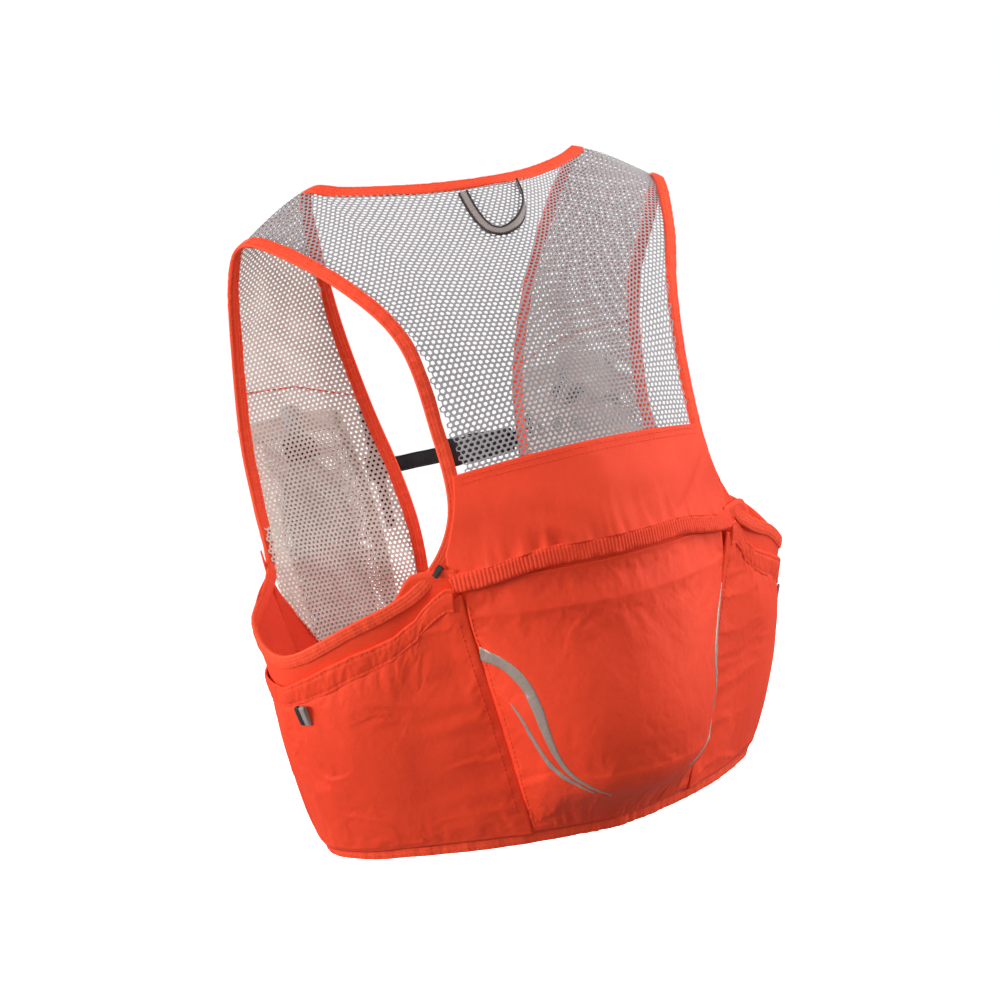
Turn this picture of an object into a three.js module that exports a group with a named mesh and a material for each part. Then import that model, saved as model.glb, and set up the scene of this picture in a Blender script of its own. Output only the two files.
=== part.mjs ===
// Running hydration vest, worn shape, built as separate sewn and moulded pieces.
// Units: millimetres. +Z up, +Y towards the wearer's back, +X towards the wearer's left.
// Origin: on the wearer's mid plane at the level of the hem.
import * as THREE from 'three';

// ---------------------------------------------------------------- driving dimensions
const FABRIC = 1.2;          // thickness of one fabric layer
const BIND_W = 8;            // width of the elastic edge binding
const BIND_T = 3;            // thickness of the folded binding
const HEM_H = 9;             // height of the hem band
const GAP = 0.5;             // gap left between neighbouring pieces
const POCKET_CROWN = 36;     // fullness of the back pocket
const SIDE_CROWN = 5;        // fullness of a side pocket
const FLASK_PUFF = 36;       // fullness of a front flask pocket
const FLASK_RX = 21;         // soft flask half width
const FLASK_RY = 11;         // soft flask half depth
const FLASK_X = 87;          // axis at the foot
const FLASK_Y = -57;         // axis at the foot
const FLASK_LEAN = 0.07;    // forward lean of the flask axis
const FLASK_OUT = 0.065;     // outward lean of the flask axis
const FLASK_Z0 = 100;        // foot of the flask
const FLASK_Z1 = 228;        // shoulder of the flask
const STRAP_Z = 215;         // height of the sternum strap
const STRAP_Y = -49.8;       // centre plane of the strap rails at that height
const RAIL_LEAN = 0.143;     // forward lean of the rails
const WEB_W = 10;            // sternum webbing width
const RAIL_X = 54;           // strap rail, distance from the mid plane
const FLAP_PIVOT = [0, 160, 196];

// outline control points, wearer's left side
const D_BACK = [[82, 122, 214], [85, 116, 244], [91, 108, 291], [108, 87, 324], [130, 49, 353], [142, 21, 362]];
const M_BACK = [[0, 148, 220], [0, 147, 250], [0, 139, 283], [0, 125, 316], [0, 101, 348], [0, 70, 378]];
const FE = [[36, -85, 0], [36, -62, 60], [36, -46, 115], [37, -38, 165], [41, -42, 207], [49, -50, 252], [63, -41, 308], [79, -13, 364], [88, 14, 391]];
const OUT = [[110, -58, -3], [122.9, -44.4, 55], [136.3, -30.4, 115], [149, -17, 172], [142, -41, 207], [142, -43, 248], [142, -29, 300], [146, 2, 343], [142, 21, 362]];
const HEM = [[0, 91, -12], [36, 84, -11], [72, 69, -10], [98, 52, -9], [114, 40, -8], [127, 26, -8], [137, 11, -7], [142, -4, -6], [142, -16, -5], [138, -29, -5], [127, -43, -4], [110, -58, -3]];
const WTOP = [[0, 157, 155], [36, 150, 155], [79, 128, 156], [107, 109, 158], [125, 97, 149], [143, 82, 140], [160, 62, 132], [170, 43, 127], [174, 24, 133], [172, 8, 146], [162, -5, 161], [149, -17, 172]];
const D_YOKE = [[107, 109, 158], [93, 117, 175], [86, 122, 193], [82, 122, 214]];
const M_YOKE = [[0, 157, 155], [0, 156, 175], [0, 153, 196], [0, 148, 220]];
const SEAM_U = [0.126, 0.138, 0.15, 0.163, 0.178, 0.192, 0.203]; // vertical pocket seam, hem to top

// ---------------------------------------------------------------- small maths
const V = (a) => new THREE.Vector3(a[0], a[1], a[2]);
const clamp = (x, a, b) => Math.min(b, Math.max(a, x));
const mix = (a, b, t) => a + (b - a) * t;
const sstep = (a, b, x) => { const t = clamp((x - a) / (b - a), 0, 1); return t * t * (3 - 2 * t); };
function cr(P, t) {
  const n = P.length - 1, s = clamp(t, 0, 1) * n, i = Math.min(Math.floor(s), n - 1), f = s - i;
  const at = (k) => k < 0 ? P[0].map((c, j) => 2 * c - P[1][j]) : k > n ? P[n].map((c, j) => 2 * c - P[n - 1][j]) : P[k];
  const a = at(i - 1), b = at(i), c = at(i + 1), d = at(i + 2);
  return b.map((_, j) => 0.5 * (2 * b[j] + (c[j] - a[j]) * f + (2 * a[j] - 5 * b[j] + 4 * c[j] - d[j]) * f * f + (3 * b[j] - a[j] - 3 * c[j] + d[j]) * f * f * f));
}
function lut(T, t) { const n = T.length - 1, s = clamp(t, 0, 1) * n, i = Math.min(Math.floor(s), n - 1); return mix(T[i], T[i + 1], s - i); }

// ---------------------------------------------------------------- garment surfaces
function topcurve(at) {
  const x = at * 142, s = clamp((x - 88) / 54, 0, 1), xm = Math.min(x, 88);
  return x <= 88 ? [x, 70 - 0.0819 * Math.pow(xm, 1.458), 378 + 13 * Math.pow(xm / 88, 1.9)] : [x, 14 + 7 * s, 391 - 29 * Math.pow(s, 1.3)];
}
const row = (at, D, M, py, pz) => [at * D[0], M[1] + (D[1] - M[1]) * Math.pow(at, py), M[2] + (D[2] - M[2]) * Math.pow(at, pz)];
// upper back, u from the wearer's left to right, v from the yoke seam to neck and shoulder ridge
function sBack(u, v) {
  const t = 1 - 2 * u, at = Math.abs(t), sg = t < 0 ? -1 : 1;
  const R = row(at, cr(D_BACK, v), cr(M_BACK, v), 2, 2), E = row(at, D_BACK[5], M_BACK[5], 2, 2), T = topcurve(at);
  const w = Math.pow(clamp(v, 0, 1), 2.5);
  return [sg * (R[0] + w * (T[0] - E[0])), R[1] + w * (T[1] - E[1]), R[2] + w * (T[2] - E[2])];
}
// front of the left side, u from the centre edge outwards, v from hem to shoulder ridge
function sFront(u, v) {
  const A = cr(FE, v), B = cr(OUT, v), c = clamp(v, 0, 1), k = clamp(u, 0, 1);
  return [mix(A[0], B[0], u), mix(A[1], B[1], u) - 9 * Math.sin(Math.PI * c) * 4 * k * (1 - k), mix(A[2], B[2], u) + c * c * c * 29 * (k - Math.pow(k, 1.3))];
}
// lower wrap, u from back centre round the left side (negative: right side), v from hem up
function sWrap(u, v) {
  const ext = (T) => [[-T[1][0], T[1][1], T[1][2]], ...T], s = u < 0 ? -1 : 1, n = HEM.length;
  const tt = (Math.abs(u) * (n - 1) + 1) / n, H = cr(ext(HEM), tt), W = cr(ext(WTOP), tt);
  return [s * mix(H[0], W[0], v), mix(H[1], W[1], v), mix(H[2], W[2], v)];
}
// yoke between the wrap and the upper back
function sYoke(u, v) {
  const t = 1 - 2 * u, at = Math.abs(t), sg = t < 0 ? -1 : 1, R = row(at, cr(D_YOKE, v), cr(M_YOKE, v), 1.8, 2);
  return [sg * R[0], R[1], R[2]];
}
function partials(S, u, v) {
  const e = 1e-3;
  const a = V(S(u + e, v)).sub(V(S(u - e, v))).divideScalar(2 * e), b = V(S(u, v + e)).sub(V(S(u, v - e))).divideScalar(2 * e);
  return [a, b];
}
// point at outward offset d; out = +1 when du x dv points outwards
function lift(S, u, v, d, out) {
  const [a, b] = partials(S, u, v), n = a.cross(b).normalize().multiplyScalar(out);
  return V(S(u, v)).addScaledVector(n, d);
}

// ---------------------------------------------------------------- solid makers
// closed slab over a (u,v) field; map(a,b) gives [u,v], d0/d1(a,b) the inner and outer offset
function slab(S, out, map, d0, d1, nx, ny) {
  const g = new THREE.BoxGeometry(1, 1, 1, nx, ny, 1), p = g.attributes.position;
  const f0 = typeof d0 === 'function' ? d0 : () => d0, f1 = typeof d1 === 'function' ? d1 : () => d1;
  for (let i = 0; i < p.count; i++) {
    let a = p.getX(i) + 0.5, b = p.getY(i) + 0.5; const c = p.getZ(i) + 0.5;
    if (out < 0) a = 1 - a;
    const [u, v] = map(a, b), q = lift(S, u, v, c > 0.5 ? f1(a, b) : f0(a, b), out);
    p.setXYZ(i, q.x, q.y, q.z);
  }
  g.computeVertexNormals();
  return g;
}
// insets in mm from each edge of the unit patch, measured square to the edge
function inset(S, { l = 0, r = 0, b = 0, t = 0 }, u0 = 0, u1 = 1, v0 = 0, v1 = 1) {
  const val = (x, k) => typeof x === 'function' ? x(k) : x;
  return (a, c) => {
    const u = mix(u0, u1, a);
    const edge = (v, w, mm) => { const [su, sv] = partials(S, u, v); const area = su.clone().cross(sv).length(); return w ? mm * sv.length() / area / 1 : mm * su.length() / area; };
    const vb = v0 + edge(v0 + 1e-3, 0, val(b, u)), vt = v1 - edge(v1 - 1e-3, 0, val(t, u));
    const v = mix(vb, vt, c);
    const sideL = (() => { const [su, sv] = partials(S, u0 + 1e-3, v); return val(l, v) * sv.length() / su.clone().cross(sv).length(); })();
    const sideR = (() => { const [su, sv] = partials(S, u1 - 1e-3, v); return val(r, v) * sv.length() / su.clone().cross(sv).length(); })();
    return [mix(u0 + sideL, u1 - sideR, a), v];
  };
}
function mirror(g) {
  const m = g.clone(), p = m.attributes.position;
  for (let i = 0; i < p.count; i++) p.setX(i, -p.getX(i));
  const ix = m.index.array;
  for (let i = 0; i < ix.length; i += 3) { const k = ix[i + 1]; ix[i + 1] = ix[i + 2]; ix[i + 2] = k; }
  m.computeVertexNormals();
  return m;
}
// flat strip swept along points P with in-surface direction W (towards the cloth)
function strip(P, W, wid, thk, n, closed, lo = 0, sh = 0) {
  const g = closed ? new THREE.TorusGeometry(2, 1, 4, n) : new THREE.BoxGeometry(1, 1, 1, n, 1, 1), p = g.attributes.position;
  const pos = (t) => V(closed ? crLoop(P, t) : cr(P, t)), dir = (t) => V(closed ? crLoop(W, t) : cr(W, t));
  for (let i = 0; i < p.count; i++) {
    let t, a, c;
    if (closed) {
      const x = p.getX(i), y = p.getY(i), z = p.getZ(i);
      let ang = Math.atan2(y, x) / (2 * Math.PI); ang -= Math.floor(ang); if (ang > 1 - 1e-6) ang = 0;
      t = ang; const r = Math.hypot(x, y) - 2;
      const k = Math.round(Math.atan2(z, r) / (Math.PI / 2)); // four corners 0,1,2,-1
      a = (k === 0 || k === 1) ? 1 : 0; c = (k === 1 || k === 2 || k === -2) ? 1 : 0;
    } else { t = p.getX(i) + 0.5; a = p.getY(i) + 0.5; c = p.getZ(i) + 0.5; }
    const e = 1e-3, T = pos(closed ? t + e : Math.min(1, t + e)).sub(pos(closed ? t - e : Math.max(0, t - e))).normalize();
    const w = dir(t); w.addScaledVector(T, -w.dot(T)).normalize();
    const nrm = T.clone().cross(w);
    const q = pos(t).addScaledVector(w, lo + a * wid).addScaledVector(nrm, (c - 0.5) * thk + sh);
    p.setXYZ(i, q.x, q.y, q.z);
  }
  g.computeVertexNormals();
  return outward(g);
}
function crLoop(P, t) {
  const n = P.length; let s = (t - Math.floor(t)) * n; const i = Math.floor(s) % n, f = s - Math.floor(s);
  const a = P[(i - 1 + n) % n], b = P[i], c = P[(i + 1) % n], d = P[(i + 2) % n];
  return b.map((_, j) => 0.5 * (2 * b[j] + (c[j] - a[j]) * f + (2 * a[j] - 5 * b[j] + 4 * c[j] - d[j]) * f * f + (3 * b[j] - a[j] - 3 * c[j] + d[j]) * f * f * f));
}
// flips the winding when the enclosed volume is negative
function outward(g) {
  const p = g.attributes.position, ix = g.index.array; let vol = 0;
  for (let i = 0; i < ix.length; i += 3) {
    const a = new THREE.Vector3().fromBufferAttribute(p, ix[i]), b = new THREE.Vector3().fromBufferAttribute(p, ix[i + 1]), c = new THREE.Vector3().fromBufferAttribute(p, ix[i + 2]);
    vol += a.dot(b.cross(c));
  }
  if (vol < 0) for (let i = 0; i < ix.length; i += 3) { const k = ix[i + 1]; ix[i + 1] = ix[i + 2]; ix[i + 2] = k; }
  g.computeVertexNormals();
  return g;
}
const bevelBox = (x, y, z, r) => { // rounded-outline plate, thickness along Y
  const s = new THREE.Shape(), a = x / 2, b = z / 2;
  s.moveTo(-a + r, -b); s.lineTo(a - r, -b); s.lineTo(a, -b + r); s.lineTo(a, b - r); s.lineTo(a - r, b); s.lineTo(-a + r, b); s.lineTo(-a, b - r); s.lineTo(-a, -b + r); s.closePath();
  const g = new THREE.ExtrudeGeometry(s, { depth: y, bevelEnabled: false, steps: 1 });
  g.rotateX(Math.PI / 2); g.translate(0, y / 2, 0); return g;
};

// ---------------------------------------------------------------- materials
const mat = (hex, rough, metal = 0) => new THREE.MeshStandardMaterial({ color: hex, roughness: rough, metalness: metal });
const ORANGE = mat(0xf0462d, 0.75), BINDING = mat(0xff583a, 0.7), MESH_GREY = mat(0xcdc8c8, 0.85), MESH_IN = mat(0xc3b9b2, 0.85);
const BLACK = mat(0x14181c, 0.6), TAUPE = mat(0x96908a, 0.7), REFLECT = mat(0xbea59b, 0.35, 0.3), MILKY = mat(0xcfd3d2, 0.35), DARK = mat(0x2a2727, 0.6), FILM = mat(0xb9c4cc, 0.3);
const group = new THREE.Group();
function add(name, geo, material) { const m = new THREE.Mesh(geo, material); m.name = name; group.add(m); return m; }
function pair(name, geo, material) { add('left_' + name, geo, material); add('right_' + name, mirror(geo), material); }

// ---------------------------------------------------------------- mesh and main panels
const H = FABRIC / 2;
add('back_mesh_panel', slab(sBack, 1, inset(sBack, { l: BIND_W + 1.4, r: BIND_W + 1.4, b: GAP, t: (u) => Math.abs(1 - 2 * u) < 0.76 ? BIND_W + 1.4 + 3.6 * sstep(0.35, 0.55, Math.abs(1 - 2 * u)) : 0.6 }), -H, H, 16, 10), MESH_GREY);
const SPLIT = 0.375;
pair('front_mesh_strap', slab(sFront, 1, inset(sFront, { l: BIND_W + 0.8, r: BIND_W + 2.2, b: GAP, t: 0.6 }, 0, 1, SPLIT, 1), -H, H, 5, 10), MESH_GREY);
pair('front_lower_panel', slab(sFront, 1, inset(sFront, { l: BIND_W + 0.8, r: (v) => 0.6 + (BIND_W + 2.6) * sstep(0.27, 0.31, v), b: HEM_H + 1, t: GAP }, 0, 1, 0, SPLIT - 0.004), -H, H, 6, 6), MESH_IN);
const NB = (v) => lut(SEAM_U, v);
add('back_yoke_panel', slab(sYoke, 1, inset(sYoke, { l: BIND_W + 1.6, r: BIND_W + 1.6, b: 1.2, t: GAP }), -H, H, 12, 5), ORANGE);
add('back_inner_panel', slab(sWrap, -1, (a, b) => { const v = mix(0.075, 0.985, b), s = NB(v) - 0.003; return [mix(-s, s, a), v]; }, -H, H, 12, 6), ORANGE);
pair('side_panel', slab(sWrap, -1, (a, b) => {
  const u = (s) => mix(s, 0.992, a);
  let v = mix(0.075, 0.985, b), uu = u(NB(v) + 0.003);
  const [su, sv] = partials(sWrap, uu, 0.99), k = (BIND_W + 3.4) * su.length() / su.clone().cross(sv).length();
  const vt = uu > 0.25 ? 1 - k : mix(0.985, 1 - k, sstep(0.2, 0.25, uu));
  v = mix(0.075, vt, b); uu = u(NB(v) + 0.003);
  return [uu, v];
}, -H, H, 14, 7), ORANGE);

// ---------------------------------------------------------------- pockets
const PK = (t, v) => { // fullness of the back pocket, t -1..1 between the seams
  const c = Math.pow(clamp(1 - Math.pow(Math.abs(t), 2.3), 0, 1), 0.8);
  const g = sstep(0.02, 0.34, v) * (1 - 0.88 * sstep(0.42, 0.97, v));
  return 2.2 + POCKET_CROWN * c * g;
};
add('back_pocket_panel', slab(sWrap, -1, (a, b) => { const v = mix(0.078, 0.955, b), s = NB(v) - 0.004; return [mix(-s, s, a), v]; },
  (a, b) => PK(2 * a - 1, mix(0.078, 0.955, b)), (a, b) => PK(2 * a - 1, mix(0.078, 0.955, b)) + FABRIC, 16, 10), ORANGE);
const BTOP = [1.0, 0.925, 0.89, 0.885, 0.85, 0.80, 0.76], BBOT = [0.9, 0.79, 0.765, 0.76, 0.735, 0.70, 0.67];
const U0 = 0.222, U1 = 0.93;
const bt = (u) => lut(BTOP, (u - U0) / (U1 - U0)), bb = (u) => lut(BBOT, (u - U0) / (U1 - U0));
pair('side_pocket_panel', slab(sWrap, -1, (a, b) => {
  let u = mix(NB(0.5) + 0.006, U1, a), v = mix(0.078, bb(u) - 0.018, b); u = mix(NB(v) + 0.006, U1, a); return [u, mix(0.078, bb(u) - 0.018, b)];
}, (a, b) => 2.2 + SIDE_CROWN * Math.sin(Math.PI * a) * Math.sin(Math.PI * b), (a, b) => 2.2 + FABRIC + SIDE_CROWN * Math.sin(Math.PI * a) * Math.sin(Math.PI * b), 12, 6), ORANGE);
pair('side_pocket_band', slab(sWrap, -1, (a, b) => { const u = mix(U0, U1, a); return [u, mix(bb(u), bt(u), b)]; }, (a) => 2.2 + 2.2 * (1 - sstep(0, 0.3, a)), (a) => 4 + 2.2 * (1 - sstep(0, 0.3, a)), 12, 1), ORANGE);

// flap over the mouth of the back pocket and its ruched elastic edge
const FX = 88;
const yt = (x, v) => 0.5 - 0.5 * x / cr(D_YOKE, v)[0];
add('pocket_flap', slab(sYoke, 1, (a, b) => { const v = mix(0.2, 0.655, b); return [mix(yt(Math.min(FX, cr(D_YOKE, v)[0] - 9), v), 1 - yt(Math.min(FX, cr(D_YOKE, v)[0] - 9), v), a), v]; }, 1.6, 1.6 + FABRIC, 14, 4), ORANGE);
add('pocket_flap_elastic', slab(sYoke, 1, (a, b) => { const v = mix(0.03, 0.185, b); return [mix(yt(FX, v), 1 - yt(FX, v), a), v]; }, 1.6, 4.2, 14, 1), ORANGE);

// reflective strips on the back pocket, laid along (t, v) paths
function reflective(path, w0) {
  const S = (s, w) => {
    const q = cr(path, s), half = w0 * Math.pow(Math.sin(Math.PI * clamp(s * 0.92 + 0.04, 0, 1)), 0.8) + 0.006;
    const t = q[0] + half * (w - 0.5) * 2, v = q[1];
    const p = lift(sWrap, t * NB(v), v, PK(t, v) + FABRIC + 0.5, -1); return [p.x, p.y, p.z];
  };
  return S;
}
const RO = [[0.95, 0.745], [0.80, 0.71], [0.68, 0.61], [0.60, 0.475], [0.47, 0.335], [0.27, 0.25]];
const RI = [[0.83, 0.60], [0.76, 0.49], [0.68, 0.37], [0.56, 0.285], [0.38, 0.225]];
pair('outer_reflective_strip', outward(slab(reflective(RO, 0.048), 1, (a, b) => [a, b], 0, 0.4, 12, 1)), REFLECT);
pair('inner_reflective_strip', outward(slab(reflective(RI, 0.03), 1, (a, b) => [a, b], 0, 0.4, 10, 1)), REFLECT);

// ---------------------------------------------------------------- edge bindings
const ARM = [[142, 21, 362], [130, 49, 353], [108, 87, 324], [91, 108, 291], [85, 116, 244], [86, 122, 193], [107, 109, 158], [143, 82, 140], [170, 43, 127], [172, 8, 146], [149, -17, 172], [142, -41, 207], [142, -43, 248], [142, -29, 300], [146, 2, 343]];
const ARMW = [[-0.87, -0.11, 0.47], [-0.85, 0.1, 0.5], [-0.9, 0.3, 0.3], [-0.95, 0.3, 0.08], [-0.95, 0.3, 0], [-0.93, 0.36, -0.05], [-0.6, 0.2, -0.75], [-0.15, -0.3, -0.94], [-0.15, -0.33, -0.93], [-0.2, -0.2, -0.95], [-0.6, -0.2, -0.75], [-0.98, -0.15, -0.1], [-0.99, -0.1, 0], [-0.98, -0.15, 0.1], [-0.9, -0.15, 0.4]];
pair('armhole_binding', strip(ARM, ARMW, BIND_W, BIND_T, 60, true), BINDING);
const neckP = [], neckW = [];
for (let i = 0; i <= 8; i++) { const v = mix(0.022, 1, i / 8), a = sFront(0, v), [su] = partials(sFront, 0.001, v); su.normalize(); neckP.push(a); neckW.push([su.x, su.y, su.z]); }
for (let i = 1; i <= 8; i++) {
  const x = mix(88, 0, i / 8), at = x / 142, u = 0.5 - at / 2, a = sBack(u, 1), q = V(sBack(u, 0.9)).sub(V(a)).normalize();
  const w = i < 2 ? [0.35, 0.45, -0.82] : [q.x, q.y, q.z];
  neckP.push([a[0], a[1], a[2]]); neckW.push(w);
}
const full = (P, sx) => [...P, ...P.slice(0, -1).reverse().map((q) => [sx * q[0], q[1], q[2]])];
add('neck_and_front_edge_binding', strip(full(neckP, -1), full(neckW, -1), BIND_W, BIND_T, 96, false), BINDING);
const hemP = [], hemW = [];
for (let i = 0; i <= 4; i++) { const u = i / 4 * 0.97, a = sFront(u, 0), b = V(sFront(u, 0.06)).sub(V(a)).normalize(); hemP.push(a); hemW.push([b.x, b.y, b.z]); }
for (let i = 0; i <= 11; i++) { const u = 1 - i / 11, a = sWrap(u, 0), b = V(sWrap(u, 0.06)).sub(V(a)).normalize(); if (i > 0) { hemP.push(a); hemW.push([b.x, b.y, b.z]); } }
add('hem_band', strip(full(hemP, -1), full(hemW, -1), HEM_H, BIND_T, 64, false), BINDING);

// ---------------------------------------------------------------- loops and tabs
{ // hanging loop: ribbon bent to a U, hanging behind the neck
  const P = [], W = [];
  for (let i = 0; i <= 16; i++) {
    const a = Math.PI * i / 16, x = 17 * Math.cos(a) + 2 * Math.sin(a), vv = 0.955 - 0.17 * Math.pow(Math.sin(a), 0.8);
    const u = 0.5 - x / (2 * cr(D_BACK, vv)[0]), q = lift(sBack, u, vv, 4.2 + 2.2 * Math.sin(a), 1), c = lift(sBack, 0.5, 0.93, 5, 1);
    P.push([q.x, q.y, q.z]); const w = c.sub(q).normalize(); W.push([w.x, w.y, w.z]);
  }
  add('hanger_loop', strip(P, W, 5, 1.2, 24, false), TAUPE);
}
const place = (geo, S, u, v, d, out, spin = 0) => {
  const [a, b] = partials(S, u, v), n = a.clone().cross(b).normalize().multiplyScalar(out), up = b.clone().normalize(), rt = up.clone().cross(n).normalize();
  const m = new THREE.Matrix4().makeBasis(rt.negate(), n, n.clone().cross(rt).normalize().negate());
  const m2 = new THREE.Matrix4().makeBasis(rt, n, new THREE.Vector3().crossVectors(rt, n));
  const q = lift(S, u, v, d, out); g0(geo, m2, q, spin); return outward(geo);
};
function g0(geo, m, q, spin) { if (spin) geo.rotateY(spin); geo.applyMatrix4(m); geo.translate(q.x, q.y, q.z); }
const idx = (g) => { if (!g.index) g.setIndex([...Array(g.attributes.position.count).keys()]); return g; };
const tabShape = () => { const s = new THREE.Shape(); s.moveTo(-3.2, -7); s.lineTo(3.2, -7); s.lineTo(3.6, 5); s.lineTo(2, 7); s.lineTo(-2, 7); s.lineTo(-3.6, 5); s.closePath(); const g = new THREE.ExtrudeGeometry(s, { depth: 2.6, bevelEnabled: false, steps: 1 }); g.rotateX(Math.PI / 2); g.translate(0, 1.3, 0); return idx(g); };
pair('side_pull_tab', place(tabShape(), sWrap, 0.59, 0.73, 8.6, -1, 0.15), DARK);
const loopShape = () => { const s = new THREE.Shape(); s.moveTo(-3, -6); s.lineTo(3, -6); s.lineTo(3, 4); s.lineTo(0, 7); s.lineTo(-3, 4); s.closePath(); const g = new THREE.ExtrudeGeometry(s, { depth: 1.8, bevelEnabled: false, steps: 1 }); g.rotateX(Math.PI / 2); g.translate(0, 0.9, 0); return idx(g); };
add('left_pocket_corner_tab', place(loopShape(), sYoke, 0.042, 0.13, 3.0, 1, 0), DARK);

// ---------------------------------------------------------------- sternum strap
{
  const rail = (sx) => { // webbing strip on the front strap that the slider runs on
    const P = [], W = [];
    for (let i = 0; i <= 4; i++) { const z = mix(STRAP_Z - 38, STRAP_Z + 38, i / 4); P.push([sx * (RAIL_X + 3), STRAP_Y - RAIL_LEAN * (z - STRAP_Z), z]); W.push([-sx, 0, 0]); }
    return strip(P, W, 6, 1.4, 6, false);
  };
  add('left_strap_rail', rail(1), BLACK); add('right_strap_rail', rail(-1), BLACK);
  const slider = (sx) => { // slider plate that runs in front of the rail
    const g = idx(bevelBox(12, 3.2, 16, 2)); g.rotateX(Math.atan(RAIL_LEAN)); g.translate(sx * RAIL_X, STRAP_Y - 2.8, STRAP_Z); return outward(g);
  };
  add('left_strap_slider', slider(1), BLACK); add('right_strap_slider', slider(-1), BLACK);
  const web = (x0, x1) => { const g = new THREE.BoxGeometry(Math.abs(x1 - x0), 1.4, WEB_W, 4, 1, 1); g.translate((x0 + x1) / 2, STRAP_Y - 2.8, STRAP_Z); return g; };
  add('left_sternum_webbing', web(3.5, 47.4), BLACK);
  add('right_sternum_webbing', web(-47.4, -43.5), BLACK);
  // side-release buckle, socket half towards the left, plug half towards the right
  const sock = new THREE.Shape(); // section across the strap, Y then Z
  sock.moveTo(-3.5, -8); sock.lineTo(-2.2, -9.5); sock.lineTo(2.2, -9.5); sock.lineTo(3.5, -8); sock.lineTo(3.5, 8); sock.lineTo(2.2, 9.5); sock.lineTo(-2.2, 9.5); sock.lineTo(-3.5, 8); sock.closePath();
  const hole = new THREE.Path(); hole.moveTo(-1.3, -5.7); hole.lineTo(-1.3, 5.7); hole.lineTo(1.3, 5.7); hole.lineTo(1.3, -5.7); hole.closePath(); sock.holes.push(hole);
  const gs = new THREE.ExtrudeGeometry(sock, { depth: 24, bevelEnabled: false, steps: 1 });
  gs.applyMatrix4(new THREE.Matrix4().makeBasis(new THREE.Vector3(0, 1, 0), new THREE.Vector3(0, 0, 1), new THREE.Vector3(1, 0, 0))); gs.translate(-21.6, STRAP_Y - 2.8, STRAP_Z);
  add('buckle_socket', outward(idx(gs)), BLACK);
  const st = [[-42.8, 8, 2.6], [-36, 9.5, 3], [-22.6, 9, 3], [-22.2, 4.9, 0.9], [-14.5, 4.4, 0.8]]; // x, half height, half thickness
  const gp = new THREE.BoxGeometry(1, 1, 1, 4, 1, 1), pp = gp.attributes.position;
  for (let i = 0; i < pp.count; i++) { const k = st[Math.round((pp.getX(i) + 0.5) * 4)]; pp.setXYZ(i, k[0], STRAP_Y - 2.8 + 2 * k[2] * pp.getY(i), STRAP_Z + 2 * k[1] * pp.getZ(i)); }
  add('buckle_plug', outward(gp), BLACK);
}

// ---------------------------------------------------------------- front flask pockets and soft flasks
const FP0 = [0.215, 0.82, 0.235, 0.61];
const FPd = (a, b) => { // pouch fullness, a across, b up
  const c = Math.pow(clamp(1 - Math.pow(Math.abs(2 * a - 1), 4), 0, 1), 0.42);
  return 2.4 + FLASK_PUFF * c * sstep(-0.22, 0.1, b);
};
const sPouch = (a, b) => { const q = lift(sFront, mix(FP0[0], FP0[1], a), mix(FP0[2], FP0[3], b), FPd(clamp(a, 0, 1), Math.min(b, 1)), 1); return [q.x, q.y, q.z]; };
const bow = (a) => 0.5 - 0.5 * Math.cos(Math.PI * mix(0.03, 0.97, a)); // columns closer together on the steep sides
pair('flask_pocket', slab(sPouch, 1, (a, b) => [bow(a), b], 0, FABRIC, 16, 10), MESH_IN);
pair('flask_pocket_binding', slab(sPouch, 1, (a, b) => [bow(a), 1.009 + 0.053 * b], -0.2, 1.6, 16, 1), BINDING);
{
  const body = () => {
    const pts = [[0, 0], [0.6, 1], [0.9, 8], [1, 24], [0.98, 96], [0.8, 115], [0.46, 124], [0, 126]].map(([r, z]) => new THREE.Vector2(r, FLASK_Z0 + z));
    const g = new THREE.LatheGeometry(pts, 16); g.rotateX(Math.PI / 2); g.scale(1, 1, 1);
    const p = g.attributes.position;
    for (let i = 0; i < p.count; i++) p.setXYZ(i, FLASK_X + FLASK_OUT * (p.getZ(i) - FLASK_Z0) + p.getX(i) * FLASK_RX, FLASK_Y + p.getY(i) * FLASK_RY - FLASK_LEAN * (p.getZ(i) - FLASK_Z0), p.getZ(i));
    return outward(g);
  };
  const lathe = (P) => { const g = new THREE.LatheGeometry(P.map(([r, z]) => new THREE.Vector2(r, z)), 12); g.rotateX(Math.PI / 2); g.translate(FLASK_X, FLASK_Y, 0); const p = g.attributes.position; for (let i = 0; i < p.count; i++) { const h = p.getZ(i) - FLASK_Z0; p.setXYZ(i, p.getX(i) + FLASK_OUT * h, p.getY(i) - FLASK_LEAN * h, p.getZ(i)); } return outward(g); };
  pair('flask_body', body(), MILKY);
  pair('flask_cap', lathe([[0, 228.5], [11, 228.5], [11, 240], [9.5, 243], [6, 244.5], [0, 244.5]]), DARK);
  pair('flask_bite_valve', lathe([[0, 245], [5, 245], [5.2, 249], [6, 252], [6.5, 258], [5, 263], [0, 264]]), mat(0x8fa3ad, 0.4));
}

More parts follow.
